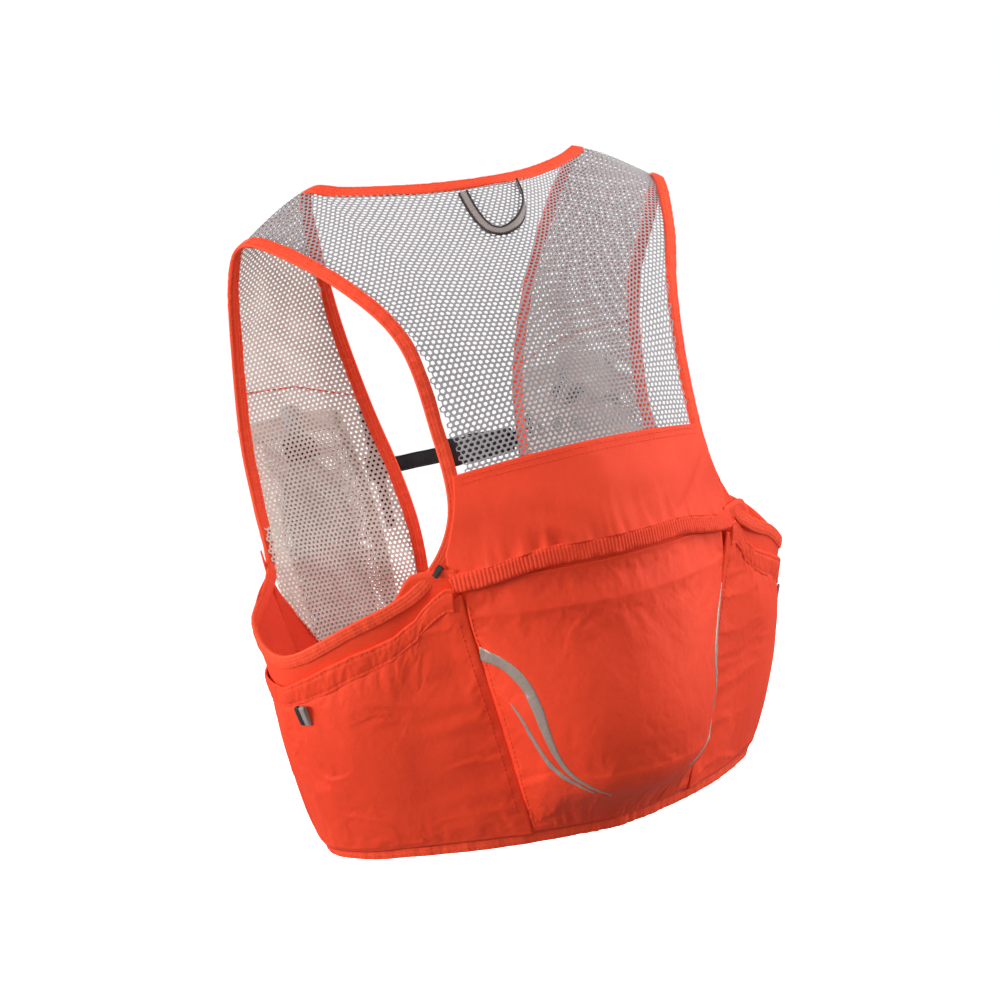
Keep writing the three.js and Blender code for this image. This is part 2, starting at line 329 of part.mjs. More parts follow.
// ---------------------------------------------------------------- reservoir in the back pocket
{
  const half = (a, b) => { const c = Math.pow(clamp(1 - Math.pow(Math.abs(2 * a - 1), 2.6), 0, 1), 0.7) * Math.pow(clamp(1 - Math.pow(Math.abs(2 * b - 1), 4), 0, 1), 0.6); return c; };
  const T = 0.86;
  add('reservoir_bladder', slab(sWrap, -1, (a, b) => { const v = mix(0.13, 0.80, b); return [mix(-1, 1, a) * NB(v) * T * 0.82, v]; },
    (a, b) => 1.6, (a, b) => 2.4 + 0.62 * (PK((2 * a - 1) * T * 0.82, mix(0.13, 0.80, b)) - 2.2) * half(a, b), 12, 8), FILM);
  add('reservoir_slide_closure', slab(sWrap, -1, (a, b) => { const v = mix(0.806, 0.845, b); return [mix(-1, 1, a) * NB(v) * T * 0.8, v]; }, 1.6, 3.4, 10, 1), BLACK);
}
export default group;
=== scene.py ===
import bpy, math
import numpy as np
from mathutils import Vector, Matrix


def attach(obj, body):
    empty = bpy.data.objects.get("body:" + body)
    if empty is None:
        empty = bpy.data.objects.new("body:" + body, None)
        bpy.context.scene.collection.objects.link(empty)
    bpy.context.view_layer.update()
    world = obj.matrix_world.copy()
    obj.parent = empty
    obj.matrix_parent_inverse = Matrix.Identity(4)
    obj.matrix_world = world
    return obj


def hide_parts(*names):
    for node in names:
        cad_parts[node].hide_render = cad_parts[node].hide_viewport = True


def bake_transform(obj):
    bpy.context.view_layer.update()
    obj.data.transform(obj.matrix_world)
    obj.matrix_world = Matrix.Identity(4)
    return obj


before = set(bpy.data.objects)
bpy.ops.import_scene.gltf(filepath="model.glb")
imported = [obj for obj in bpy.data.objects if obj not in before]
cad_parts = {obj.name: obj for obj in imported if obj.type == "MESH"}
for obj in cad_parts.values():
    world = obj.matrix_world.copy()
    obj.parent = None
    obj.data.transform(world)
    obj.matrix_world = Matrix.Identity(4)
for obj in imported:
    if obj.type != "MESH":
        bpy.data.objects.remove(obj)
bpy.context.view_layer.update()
PI = math.pi

# ------------------------------------------------------------------ camera
phi, eps, rho, DIST, FOC, CX, CY, TZ, TY = 0.436053, 0.0788635, 0.178651, 1461.266, 2424.448, 522.547, 474.413, 199.991, 44.995
back = np.array([math.sin(phi) * math.cos(eps), math.cos(phi) * math.cos(eps), math.sin(eps)])
loc = np.array([0, TY, TZ]) + DIST * back
right = np.cross(-back, [0, 0, 1.0]); right /= np.linalg.norm(right); upv = np.cross(right, -back)
cam = bpy.data.objects.new("camera", bpy.data.cameras.new("camera"))
bpy.context.scene.collection.objects.link(cam)
bx, by = math.cos(rho) * right - math.sin(rho) * upv, math.sin(rho) * right + math.cos(rho) * upv
M = Matrix(((bx[0], by[0], back[0], loc[0] / 1000), (bx[1], by[1], back[1], loc[1] / 1000), (bx[2], by[2], back[2], loc[2] / 1000), (0, 0, 0, 1)))
cam.matrix_world = M
cam.data.sensor_width = 36; cam.data.lens = FOC / 1000 * 36
cam.data.shift_x = (500 - CX) / 1000; cam.data.shift_y = (CY - 500) / 1000
cam.data.clip_start = 0.05; cam.data.clip_end = 50
bpy.context.scene.camera = cam

# ------------------------------------------------------------------ garment surfaces (mm)
def cr(P, t):
    P = np.asarray(P, float); n = len(P) - 1
    t = np.clip(np.asarray(t, float), 0, 1) * n
    i = np.minimum(t.astype(int), n - 1); f = (t - i)[..., None]
    Pe = np.vstack([2 * P[0] - P[1], P, 2 * P[-1] - P[-2]])
    a, b, c, d = Pe[i], Pe[i + 1], Pe[i + 2], Pe[i + 3]
    return 0.5 * ((2 * b) + (c - a) * f + (2 * a - 5 * b + 4 * c - d) * f * f + (3 * b - a - 3 * c + d) * f ** 3)
def crl(P, t):
    P = np.asarray(P, float); n = len(P)
    t = (np.asarray(t, float) % 1.0) * n
    i = t.astype(int) % n; f = (t - np.floor(t))[..., None]
    a, b, c, d = P[(i - 1) % n], P[i], P[(i + 1) % n], P[(i + 2) % n]
    return 0.5 * ((2 * b) + (c - a) * f + (2 * a - 5 * b + 4 * c - d) * f * f + (3 * b - a - 3 * c + d) * f ** 3)
def lut(T, t):
    return np.interp(np.clip(t, 0, 1) * (len(T) - 1), np.arange(len(T)), T)
def ss(a, b, x):
    t = np.clip((np.asarray(x, float) - a) / (b - a), 0, 1); return t * t * (3 - 2 * t)
D_BACK = [[82, 122, 214], [85, 116, 244], [91, 108, 291], [108, 87, 324], [130, 49, 353], [142, 21, 362]]
M_BACK = [[0, 148, 220], [0, 147, 250], [0, 139, 283], [0, 125, 316], [0, 101, 348], [0, 70, 378]]
FE = [[36, -85, 0], [36, -62, 60], [36, -46, 115], [37, -38, 165], [41, -42, 207], [49, -50, 252], [63, -41, 308], [79, -13, 364], [88, 14, 391]]
OUT = [[110, -58, -3], [122.9, -44.4, 55], [136.3, -30.4, 115], [149, -17, 172], [142, -41, 207], [142, -43, 248], [142, -29, 300], [146, 2, 343], [142, 21, 362]]
HEM = [[0, 91, -12], [36, 84, -11], [72, 69, -10], [98, 52, -9], [114, 40, -8], [127, 26, -8], [137, 11, -7], [142, -4, -6], [142, -16, -5], [138, -29, -5], [127, -43, -4], [110, -58, -3]]
WTOP = [[0, 157, 155], [36, 150, 155], [79, 128, 156], [107, 109, 158], [125, 97, 149], [143, 82, 140], [160, 62, 132], [170, 43, 127], [174, 24, 133], [172, 8, 146], [162, -5, 161], [149, -17, 172]]
D_YOKE = [[107, 109, 158], [93, 117, 175], [86, 122, 193], [82, 122, 214]]
M_YOKE = [[0, 157, 155], [0, 156, 175], [0, 153, 196], [0, 148, 220]]
SEAM_U = [0.126, 0.138, 0.15, 0.163, 0.178, 0.192, 0.203]
def topcurve(at):
    x = at * 142.0; s = np.clip((x - 88) / 54, 0, 1); xm = np.minimum(x, 88)
    yn = 70 - 0.0819 * xm ** 1.458; zn = 378 + 13 * (xm / 88) ** 1.9
    return np.stack([x, np.where(x <= 88, yn, 14 + 7 * s), np.where(x <= 88, zn, 391 - 29 * s ** 1.3)], -1)
def rowc(at, D, Mx, py=2.0, pz=2.0):
    return np.stack([at * D[..., 0], Mx[..., 1] + (D[..., 1] - Mx[..., 1]) * at ** py, Mx[..., 2] + (D[..., 2] - Mx[..., 2]) * at ** pz], -1)
def s_back(u, v):
    u, v = np.broadcast_arrays(np.asarray(u, float), np.asarray(v, float))
    t = 1 - 2 * u; at = np.abs(t); sg = np.where(t < 0, -1.0, 1.0)
    R = rowc(at, cr(D_BACK, v), cr(M_BACK, v))
    E = rowc(at, np.broadcast_to(np.array(D_BACK[-1], float), R.shape), np.broadcast_to(np.array(M_BACK[-1], float), R.shape))
    R = R + (np.clip(v, 0, 1) ** 2.5)[..., None] * (topcurve(at) - E)
    R[..., 0] *= sg
    return R
def s_front(u, v):
    u, v = np.broadcast_arrays(np.asarray(u, float), np.asarray(v, float))
    A = cr(FE, v); B = cr(OUT, v); R = A + (B - A) * u[..., None]; k = np.clip(u, 0, 1)
    R[..., 1] -= 9 * np.sin(PI * np.clip(v, 0, 1)) * 4 * k * (1 - k)
    R[..., 2] += (np.clip(v, 0, 1) ** 3) * 29 * (k - k ** 1.3)
    return R
def s_frontR(u, v):
    R = s_front(u, v); R[..., 0] *= -1; return R
_HX = [[-HEM[1][0], HEM[1][1], HEM[1][2]]] + HEM; _WX = [[-WTOP[1][0], WTOP[1][1], WTOP[1][2]]] + WTOP
def s_wrap(u, v):
    u, v = np.broadcast_arrays(np.asarray(u, float), np.asarray(v, float))
    s = np.where(u < 0, -1.0, 1.0); n = len(HEM); tt = (np.abs(u) * (n - 1) + 1) / n
    R = cr(_HX, tt) * (1 - v)[..., None] + cr(_WX, tt) * v[..., None]
    R[..., 0] *= s
    return R
def s_yoke(u, v):
    u, v = np.broadcast_arrays(np.asarray(u, float), np.asarray(v, float))
    t = 1 - 2 * u; at = np.abs(t); sg = np.where(t < 0, -1.0, 1.0)
    R = rowc(at, cr(D_YOKE, v), cr(M_YOKE, v), 1.8, 2.0); R[..., 0] *= sg
    return R
def nrm(S, u, v, e=1e-3):
    a = S(u + e, v) - S(u - e, v); b = S(u, v + e) - S(u, v - e)
    n = np.cross(a, b); return n / np.maximum(np.linalg.norm(n, axis=-1, keepdims=True), 1e-9)
def PK(t, v):
    c = np.clip(1 - np.abs(t) ** 2.3, 0, 1) ** 0.8
    return 2.2 + 36 * c * ss(0.02, 0.34, v) * (1 - 0.88 * ss(0.42, 0.97, v))
NB = lambda v: lut(SEAM_U, v)

# ------------------------------------------------------------------ smooth noise
_rng = np.random.RandomState(7); _PERM = np.concatenate([_rng.permutation(256)] * 2); _GR = _rng.uniform(-1, 1, (256, 2))
_GR /= np.linalg.norm(_GR, axis=1, keepdims=True)
def pn(x, y, seed=0):
    x = np.asarray(x, float) + seed * 17.13; y = np.asarray(y, float) + seed * 5.71
    xi, yi = np.floor(x).astype(int), np.floor(y).astype(int); xf, yf = x - xi, y - yi
    def g(ix, iy, dx, dy):
        h = _PERM[(_PERM[ix & 255] + iy) & 255]; return _GR[h, 0] * dx + _GR[h, 1] * dy
    u, v = xf * xf * xf * (xf * (xf * 6 - 15) + 10), yf * yf * yf * (yf * (yf * 6 - 15) + 10)
    a = g(xi, yi, xf, yf) * (1 - u) + g(xi + 1, yi, xf - 1, yf) * u
    b = g(xi, yi + 1, xf, yf - 1) * (1 - u) + g(xi + 1, yi + 1, xf - 1, yf - 1) * u
    return (a * (1 - v) + b * v) * 1.6
def fbm(x, y, seed=0, o=3):
    return sum(pn(x * 2 ** k, y * 2 ** k, seed + k) / 2 ** k for k in range(o))
def ridge(x, y, seed=0):
    return 1 - np.abs(pn(x, y, seed)) * 2

# ------------------------------------------------------------------ mesh helpers
def make(name, V_mm, F, mat, body, slot=None, replaces=(), uv=None, smooth=True, blend=None):
    me = bpy.data.meshes.new(name)
    V = np.asarray(V_mm, np.float32).reshape(-1, 3) / 1000.0
    F = np.asarray(F)
    nf = len(F); k = F.shape[1]
    me.vertices.add(len(V)); me.vertices.foreach_set("co", V.ravel())
    me.loops.add(nf * k); me.loops.foreach_set("vertex_index", F.ravel().astype(np.int32))
    me.polygons.add(nf); me.polygons.foreach_set("loop_start", np.arange(0, nf * k, k, dtype=np.int32)); me.polygons.foreach_set("loop_total", np.full(nf, k, np.int32))
    if uv is not None:
        L = me.uv_layers.new(name="weave"); uvs = (np.asarray(uv, np.float32).reshape(-1, 2))[F.ravel()]
        L.data.foreach_set("uv", uvs.ravel())
    me.update(); me.validate()
    me.polygons.foreach_set("use_smooth", np.full(len(me.polygons), smooth))
    me.materials.append(mat)
    o = bpy.data.objects.new(name, me); bpy.context.scene.collection.objects.link(o)
    if blend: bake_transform(o)
    else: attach(o, body)
    if replaces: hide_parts(*replaces)
    return o
def gridF(nx, ny, off=0, flip=False):
    i, j = np.meshgrid(np.arange(nx - 1), np.arange(ny - 1)); a = (j * nx + i).ravel() + off
    q = np.stack([a, a + 1, a + 1 + nx, a + nx], -1)
    return q[:, ::-1] if flip else q
def shell_from(P, N, thick, flip):
    """closed cloth shell from an outer grid P (ny,nx,3) with unit normals N"""
    ny, nx = P.shape[:2]; Q = P - N * thick
    F = [gridF(nx, ny, 0, flip), gridF(nx, ny, nx * ny, not flip)]
    def side(idx):
        idx = np.asarray(idx); a, b = idx[:-1], idx[1:]; f = np.stack([a, b, b + nx * ny, a + nx * ny], -1)
        return f
    bot = np.arange(nx); top = np.arange(nx) + (ny - 1) * nx; lef = np.arange(ny) * nx; rig = lef + nx - 1
    for idx, fl in ((bot, True), (rig, True), (top, False), (lef, False)):
        f = side(idx); F.append(f[:, ::-1] if (fl != flip) else f)
    return np.concatenate([P.reshape(-1, 3), Q.reshape(-1, 3)]), np.concatenate(F)
def arcuv(P):
    du = np.linalg.norm(np.diff(P, axis=1), axis=2); dv = np.linalg.norm(np.diff(P, axis=0), axis=2)
    ny, nx = P.shape[:2]
    U = np.zeros((ny, nx)); V = np.zeros((ny, nx))
    U[:, 1:] = np.cumsum(np.broadcast_to(du.mean(0), (ny, nx - 1)), 1); V[1:, :] = np.cumsum(np.broadcast_to(dv.mean(1)[:, None], (ny - 1, nx)), 0)
    U -= U[:, nx // 2:nx // 2 + 1]
    uv = np.stack([U, V], -1).reshape(-1, 2); return np.concatenate([uv, uv])
def cloth(name, S, out, U, V, D, thick, mat, body, **kw):
    P = S(U, V); N = nrm(S, U, V) * out
    P = P + N * np.asarray(D)[..., None]
    # normals of the displaced surface
    Gu = np.gradient(P, axis=1); Gv = np.gradient(P, axis=0); NN = np.cross(Gu, Gv); NN /= np.maximum(np.linalg.norm(NN, axis=-1, keepdims=True), 1e-9)
    flip = float((NN * N).sum(-1).mean()) < 0
    if flip: NN = -NN
    VV, F = shell_from(P, NN, thick, flip)
    o = make(name, VV, F, mat, body, uv=arcuv(P), **kw)
    return o, P, NN
def sweep(P, W, prof, closed, twist=None, scale=None):
    """tube of a closed profile [(along W, along normal)] along P; returns verts, faces"""
    P = np.asarray(P, float); n = len(P)
    T = (np.roll(P, -1, 0) - np.roll(P, 1, 0)) if closed else np.gradient(P, axis=0)
    T /= np.linalg.norm(T, axis=1, keepdims=True)
    W = np.asarray(W, float); W = W - (W * T).sum(1, keepdims=True) * T; W /= np.linalg.norm(W, axis=1, keepdims=True)
    N = np.cross(T, W); prof = np.asarray(prof, float); m = prof.shape[-2]
    pr = np.broadcast_to(prof, (n, m, 2)) if prof.ndim == 2 else prof
    Vt = P[:, None] + W[:, None] * pr[..., 0:1] + N[:, None] * pr[..., 1:2]
    nn = n if closed else n - 1
    i, j = np.meshgrid(np.arange(nn), np.arange(m), indexing="ij"); i, j = i.ravel(), j.ravel(); i2, j2 = (i + 1) % n, (j + 1) % m
    F = np.stack([i * m + j, i * m + j2, i2 * m + j2, i2 * m + j], -1)
    VV = Vt.reshape(-1, 3)
    if not closed:
        c0, c1 = len(VV), len(VV) + 1; VV = np.vstack([VV, Vt[0].mean(0), Vt[-1].mean(0)])
        a = np.arange(m); b = (a + 1) % m
        F = np.concatenate([F, np.stack([b, a, np.full(m, c0), np.full(m, c0)], -1), np.stack([(n - 1) * m + a, (n - 1) * m + b, np.full(m, c1), np.full(m, c1)], -1)])
    A = VV[F[:, 0]]; B = VV[F[:, 1]]; C = VV[F[:, 2]]; Dq = VV[F[:, 3]]
    vol = (A * np.cross(B, C)).sum() + (A * np.cross(C, Dq)).sum()
    if vol < 0: F = F[:, ::-1]
    return VV, F, T, W, N
def fixtri(F):
    return F
def resample(P, step=None, n=None, closed=False, extra=None):
    P = np.asarray(P, float); Q = np.vstack([P, P[:1]]) if closed else P
    s = np.concatenate([[0], np.cumsum(np.linalg.norm(np.diff(Q, axis=0), axis=1))]); L = s[-1]
    if n is None: n = max(2, int(round(L / step)) + (0 if closed else 1))
    t = np.linspace(0, L, n, endpoint=not closed)
    R = np.stack([np.interp(t, s, Q[:, k]) for k in range(3)], -1)
    if extra is None: return R, L
    E = []
    for X in extra:
        X = np.vstack([X, X[:1]]) if closed else X
        E.append(np.stack([np.interp(t, s, X[:, k]) for k in range(X.shape[1])], -1))
    return R, L, E
_st = []   # collected stitches by (name, body, material)
def stitches(P, N, step, length, rad, W=None, duty=None, zig=0.0):
    """small thread dashes laid along points P (surface normal N)"""
    P = np.asarray(P, float); s = np.concatenate([[0], np.cumsum(np.linalg.norm(np.diff(P, axis=0), axis=1))])
    t = np.arange(step / 2, s[-1] - step / 2, step)
    c = np.stack([np.interp(t, s, P[:, k]) for k in range(3)], -1); nn = np.stack([np.interp(t, s, N[:, k]) for k in range(3)], -1); nn /= np.linalg.norm(nn, axis=1, keepdims=True)
    e = 0.4; a = np.stack([np.interp(t + e, s, P[:, k]) for k in range(3)], -1) - np.stack([np.interp(t - e, s, P[:, k]) for k in range(3)], -1)
    a /= np.maximum(np.linalg.norm(a, axis=1, keepdims=True), 1e-9); b = np.cross(nn, a)
    if zig:
        sg = np.where(np.arange(len(t)) % 2, 1.0, -1.0)[:, None]; a2 = a + b * sg * zig; a = a2 / np.linalg.norm(a2, axis=1, keepdims=True); b = np.cross(nn, a)
    k = 6; V = []
    ang = np.arange(k) * 2 * PI / k
    for f, r in ((-0.5, 0.45), (-0.28, 1.0), (0.28, 1.0), (0.5, 0.45)):
        ring = c[:, None] + a[:, None] * f * length + (b[:, None] * np.cos(ang)[None, :, None] * rad * r + nn[:, None] * (np.sin(ang)[None, :, None] * rad * r + rad * 0.35))
        V.append(ring)
    V = np.stack(V, 1)  # n,4,k,3
    n = len(t); base = (np.arange(n) * 4 * k)[:, None]
    F = []
    for r in range(3):
        j = np.arange(k); q = np.stack([r * k + j, r * k + (j + 1) % k, (r + 1) * k + (j + 1) % k, (r + 1) * k + j], -1); F.append((base[:, :, None] + q[None]).reshape(-1, 4))
    for r, fl in ((0, True), (3, False)):
        q = np.array([[0, 1, 2, 3], [0, 3, 4, 5]]) + r * k; q = q[:, ::-1] if fl else q; F.append((base[:, :, None] + q[None]).reshape(-1, 4))
    return V.reshape(-1, 3), np.concatenate(F)
def join(parts):
    V, F, o = [], [], 0
    for v, f in parts:
        V.append(v); F.append(f + o); o += len(v)
    return np.concatenate(V), np.concatenate(F)

# ------------------------------------------------------------------ materials
def lin(c):
    c = np.array(c, float) / 255.0
    r = np.where(c <= 0.04045, c / 12.92, ((c + 0.055) / 1.055) ** 2.4); return (float(r[0]), float(r[1]), float(r[2]), 1.0)
def base_mat(name, rough=0.6, spec=0.4, sheen=0.0, metal=0.0):
    m = bpy.data.materials.new(name); m.use_nodes = True; nt = m.node_tree; b = nt.nodes["Principled BSDF"]
    b.inputs["Roughness"].default_value = rough; b.inputs["Specular IOR Level"].default_value = spec
    b.inputs["Metallic"].default_value = metal; b.inputs["Sheen Weight"].default_value = sheen; b.inputs["Sheen Roughness"].default_value = 0.4
    return m, nt, b
def N(nt, t, **kw):
    n = nt.nodes.new(t)
    for k, v in kw.items(): setattr(n, k, v)
    return n
def math_(nt, op, a, b=None, c=None, clamp=False):
    n = N(nt, "ShaderNodeMath", operation=op); n.use_clamp = clamp
    for i, x in enumerate((a, b, c)):
        if x is None: continue
        if isinstance(x, (int, float)): n.inputs[i].default_value = x
        else: nt.links.new(x, n.inputs[i])
    return n.outputs[0]
def noise(nt, scale, detail=2.0, vec=None, rough=0.5):
    n = N(nt, "ShaderNodeTexNoise"); n.inputs["Scale"].default_value = scale; n.inputs["Detail"].default_value = detail; n.inputs["Roughness"].default_value = rough
    if vec is None:
        tc = N(nt, "ShaderNodeTexCoord"); vec = tc.outputs["Object"]
    nt.links.new(vec, n.inputs["Vector"]); return n.outputs["Fac"]
def mixc(nt, fac, a, b):
    n = N(nt, "ShaderNodeMix", data_type="RGBA")
    if isinstance(fac, (int, float)): n.inputs["Factor"].default_value = fac
    else: nt.links.new(fac, n.inputs["Factor"])
    for s, x in ((6, a), (7, b)):
        if isinstance(x, tuple): n.inputs[s].default_value = x
        else: nt.links.new(x, n.inputs[s])
    return n.outputs[2]
def fabric(name, hi, lo, rough=0.72, pitch=0.8, weave=0.5, mottle=0.5, sheen=0.25, spec=0.25, bumpd=0.00025, ripple=0.0, kind="weave", trans=0.0):
    m, nt, b = base_mat(name, rough, spec, sheen)
    b.inputs["Sheen Tint"].default_value = lin(hi)
    uv = N(nt, "ShaderNodeUVMap"); uv.uv_map = "weave"; sp = N(nt, "ShaderNodeSeparateXYZ"); nt.links.new(uv.outputs[0], sp.inputs[0])
    k = 2 * PI / pitch
    sx = math_(nt, "SINE", math_(nt, "MULTIPLY", sp.outputs[0], k)); sy = math_(nt, "SINE", math_(nt, "MULTIPLY", sp.outputs[1], k if kind == "weave" else k * 0.35))
    w = math_(nt, "MULTIPLY", sx, sy) if kind == "weave" else math_(nt, "MULTIPLY_ADD", sy, 0.35, sx)
    w01 = math_(nt, "MULTIPLY_ADD", w, 0.5, 0.5, clamp=True)
    big = noise(nt, 14, 3); fine = noise(nt, 700, 2)
    f = math_(nt, "MULTIPLY_ADD", math_(nt, "SUBTRACT", big, 0.5), mottle * 1.6, 0.22)
    f = math_(nt, "MULTIPLY_ADD", math_(nt, "SUBTRACT", fine, 0.5), 0.5 * mottle, f)
    f = math_(nt, "MULTIPLY_ADD", math_(nt, "SUBTRACT", 0.5, w01), 0.28 * weave, f)
    # pointiness term: painted shade pulls concave creases and folds towards lo, and convex ridges get a slight painted
    # highlight towards hi
    geo = N(nt, "ShaderNodeNewGeometry")
    painted_crease_shade = math_(nt, "MULTIPLY_ADD", math_(nt, "SUBTRACT", 0.5, geo.outputs["Pointiness"]), 3.0, 0.0)
    f = math_(nt, "ADD", f, painted_crease_shade, clamp=True)
    nt.links.new(mixc(nt, f, lin(hi), lin(lo)), b.inputs["Base Color"])
    rr = math_(nt, "MULTIPLY_ADD", fine, 0.2, rough - 0.1); nt.links.new(rr, b.inputs["Roughness"])
    h = math_(nt, "MULTIPLY_ADD", fine, 0.5, math_(nt, "MULTIPLY", w01, weave))
    h = math_(nt, "MULTIPLY_ADD", noise(nt, 160, 2), 1.6 + ripple, h)
    bp = N(nt, "ShaderNodeBump"); bp.inputs["Strength"].default_value = 0.55; bp.inputs["Distance"].default_value = bumpd
    nt.links.new(h, bp.inputs["Height"]); nt.links.new(bp.outputs[0], b.inputs["Normal"])
    if trans: b.inputs["Subsurface Weight"].default_value = trans; b.inputs["Subsurface Radius"].default_value = (0.004, 0.001, 0.0006); b.inputs["Subsurface Scale"].default_value = 1.0
    return m
def plastic(name, col, rough=0.4, spec=0.5, var=0.3, bump=0.3, scale=300):
    m, nt, b = base_mat(name, rough, spec); n1 = noise(nt, 40, 3); n2 = noise(nt, scale, 3)
    c2 = tuple(min(255, x * 1.5 + 10) for x in col)
    nt.links.new(mixc(nt, math_(nt, "MULTIPLY", n1, var), lin(col), lin(c2)), b.inputs["Base Color"])
    nt.links.new(math_(nt, "MULTIPLY_ADD", n2, 0.25, rough - 0.1), b.inputs["Roughness"])
    bp = N(nt, "ShaderNodeBump"); bp.inputs["Strength"].default_value = bump; bp.inputs["Distance"].default_value = 0.0001
    nt.links.new(n2, bp.inputs["Height"]); nt.links.new(bp.outputs[0], b.inputs["Normal"])
    return m
def film(name, col, rough=0.25, trans=0.55, ior=1.38):
    m, nt, b = base_mat(name, rough, 0.5); b.inputs["Transmission Weight"].default_value = trans; b.inputs["IOR"].default_value = ior
    n1 = noise(nt, 30, 4); nt.links.new(mixc(nt, n1, lin(col), lin(tuple(x * 0.86 for x in col))), b.inputs["Base Color"])
    n2 = noise(nt, 90, 4); bp = N(nt, "ShaderNodeBump"); bp.inputs["Strength"].default_value = 0.4; bp.inputs["Distance"].default_value = 0.0012
    nt.links.new(n2, bp.inputs["Height"]); nt.links.new(bp.outputs[0], b.inputs["Normal"]); nt.links.new(math_(nt, "MULTIPLY_ADD", n1, 0.2, rough), b.inputs["Roughness"])
    return m
ORANGE = fabric("shell_fabric", (252, 74, 40), (200, 44, 20), 0.62, 0.8, 0.6, 0.5, 0.06, 0.22)
BIND = fabric("binding_elastic", (255, 84, 50), (216, 54, 30), 0.66, 0.9, 0.7, 0.5, 0.06, 0.2, kind="rib")
RUCHE = fabric("ruched_elastic", (250, 76, 44), (190, 40, 20), 0.66, 0.7, 0.5, 0.6, 0.06, 0.2, kind="rib")
MESHG = fabric("mesh_back", (170, 165, 168), (130, 126, 130), 0.75, 0.6, 0.3, 0.4, 0.25, 0.25)
MESHI = fabric("mesh_front", (222, 212, 203), (182, 172, 164), 0.78, 0.6, 0.3, 0.4, 0.25, 0.25)
WEB = fabric("strap_webbing", (20, 25, 31), (9, 12, 15), 0.6, 1.1, 0.9, 0.4, 0.2, 0.35, kind="rib")
TAUPE = fabric("ribbon_centre", (158, 146, 142), (122, 110, 106), 0.55, 0.7, 0.8, 0.4, 0.2, 0.35, kind="rib")
DARK = fabric("ribbon_edge", (56, 47, 47), (34, 28, 28), 0.6, 0.7, 0.8, 0.4, 0.2, 0.3, kind="rib")
THREAD = fabric("thread_orange", (238, 76, 48), (200, 56, 34), 0.6, 0.5, 0.4, 0.3, 0.1, 0.3)
THREADG = fabric("thread_dark", (70, 62, 60), (40, 36, 35), 0.6, 0.5, 0.4, 0.3, 0.1, 0.3)
BLACKP = plastic("strap_plastic", (17, 20, 24), 0.42)
CAPM = plastic("cap_plastic", (42, 40, 42), 0.45)
SIL = film("valve_silicone", (150, 176, 190), 0.35, 0.3)
FLASKM = film("flask_film", (214, 219, 220), 0.3, 0.5)
BLADM = film("bladder_film", (190, 202, 212), 0.25, 0.55)
def refl_mat():
    m, nt, b = base_mat("reflective_tape", 0.38, 0.6, 0.0, 0.35)
    uv = N(nt, "ShaderNodeUVMap"); uv.uv_map = "weave"
    n1 = noise(nt, 500, 2); v = N(nt, "ShaderNodeTexVoronoi"); v.inputs["Scale"].default_value = 2.2; nt.links.new(uv.outputs[0], v.inputs["Vector"])
    f = math_(nt, "MULTIPLY_ADD", v.outputs["Distance"], 0.5, math_(nt, "MULTIPLY", n1, 0.5), clamp=True)
    nt.links.new(mixc(nt, f, lin((196, 178, 166)), lin((140, 122, 114))), b.inputs["Base Color"])
    bp = N(nt, "ShaderNodeBump"); bp.inputs["Strength"].default_value = 0.5; bp.inputs["Distance"].default_value = 0.00012
    nt.links.new(v.outputs["Distance"], bp.inputs["Height"]); nt.links.new(bp.outputs[0], b.inputs["Normal"]); return m
REFL = refl_mat()
def add_part(o, V_mm, F, mat, uv=None):
    """makes the extra geometry as a separate object tmp_<name of o> with its own material, attached to the pack body;
    it is not joined into o
    """
    me = o.data; n0 = len(me.vertices)
    t = make("tmp_" + o.name, V_mm, F, mat, "pack", uv=uv)
    return t
def piece(name, parts, body, replaces=(), blend=None, smooth=True):
    """parts: list of (V_mm, F(quads), material, uv or None). One object with several materials."""
    V, FF, UV, MI, mats, off = [], [], [], [], [], 0
    for p in parts:
        v, f, m = p[0], np.asarray(p[1]), p[2]; u = p[3] if len(p) > 3 and p[3] is not None else None
        v = np.asarray(v, float).reshape(-1, 3)
        if u is None: u = np.stack([v[:, 0] + v[:, 1], v[:, 2]], -1)
        V.append(v); FF.append(f + off); UV.append(np.asarray(u, float).reshape(-1, 2)); off += len(v)
        if m not in mats: mats.append(m)
        MI.append(np.full(len(f), mats.index(m), np.int32))
    V = np.concatenate(V); FF = np.concatenate(FF); UV = np.concatenate(UV); MI = np.concatenate(MI)
    # quads whose last two corners are the same are triangles
    tri = FF[:, 2] == FF[:, 3]
    tot = np.where(tri, 3, 4).astype(np.int32); start = np.concatenate([[0], np.cumsum(tot)[:-1]]).astype(np.int32)
    loops = FF[~tri].ravel() if not tri.any() else np.concatenate([FF[i, :3] if tri[i] else FF[i] for i in range(len(FF))])
    me = bpy.data.meshes.new(name); me.vertices.add(len(V)); me.vertices.foreach_set("co", (V / 1000).astype(np.float32).ravel())
    me.loops.add(len(loops)); me.loops.foreach_set("vertex_index", loops.astype(np.int32))
    me.polygons.add(len(FF)); me.polygons.foreach_set("loop_start", start); me.polygons.foreach_set("loop_total", tot)
    me.polygons.foreach_set("material_index", MI)
    L = me.uv_layers.new(name="weave"); L.data.foreach_set("uv", UV[loops].astype(np.float32).ravel())
    me.update(); me.validate()
    me.polygons.foreach_set("use_smooth", np.full(len(me.polygons), smooth))
    for m in mats: me.materials.append(m)
    o = bpy.data.objects.new(name, me); bpy.context.scene.collection.objects.link(o)
    if blend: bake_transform(o)
    elif body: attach(o, body)
    if replaces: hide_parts(*replaces)
    return o
def mir(parts):
    r = []
    for p in parts:
        v = np.asarray(p[0], float).reshape(-1, 3) * [-1, 1, 1]; f = np.asarray(p[1])[:, ::-1]
        f = np.where((f[:, 0] == f[:, 1])[:, None], np.stack([f[:, 1], f[:, 2], f[:, 3], f[:, 3]], -1), f)
        r.append((v, f) + tuple(p[2:]))
    return r

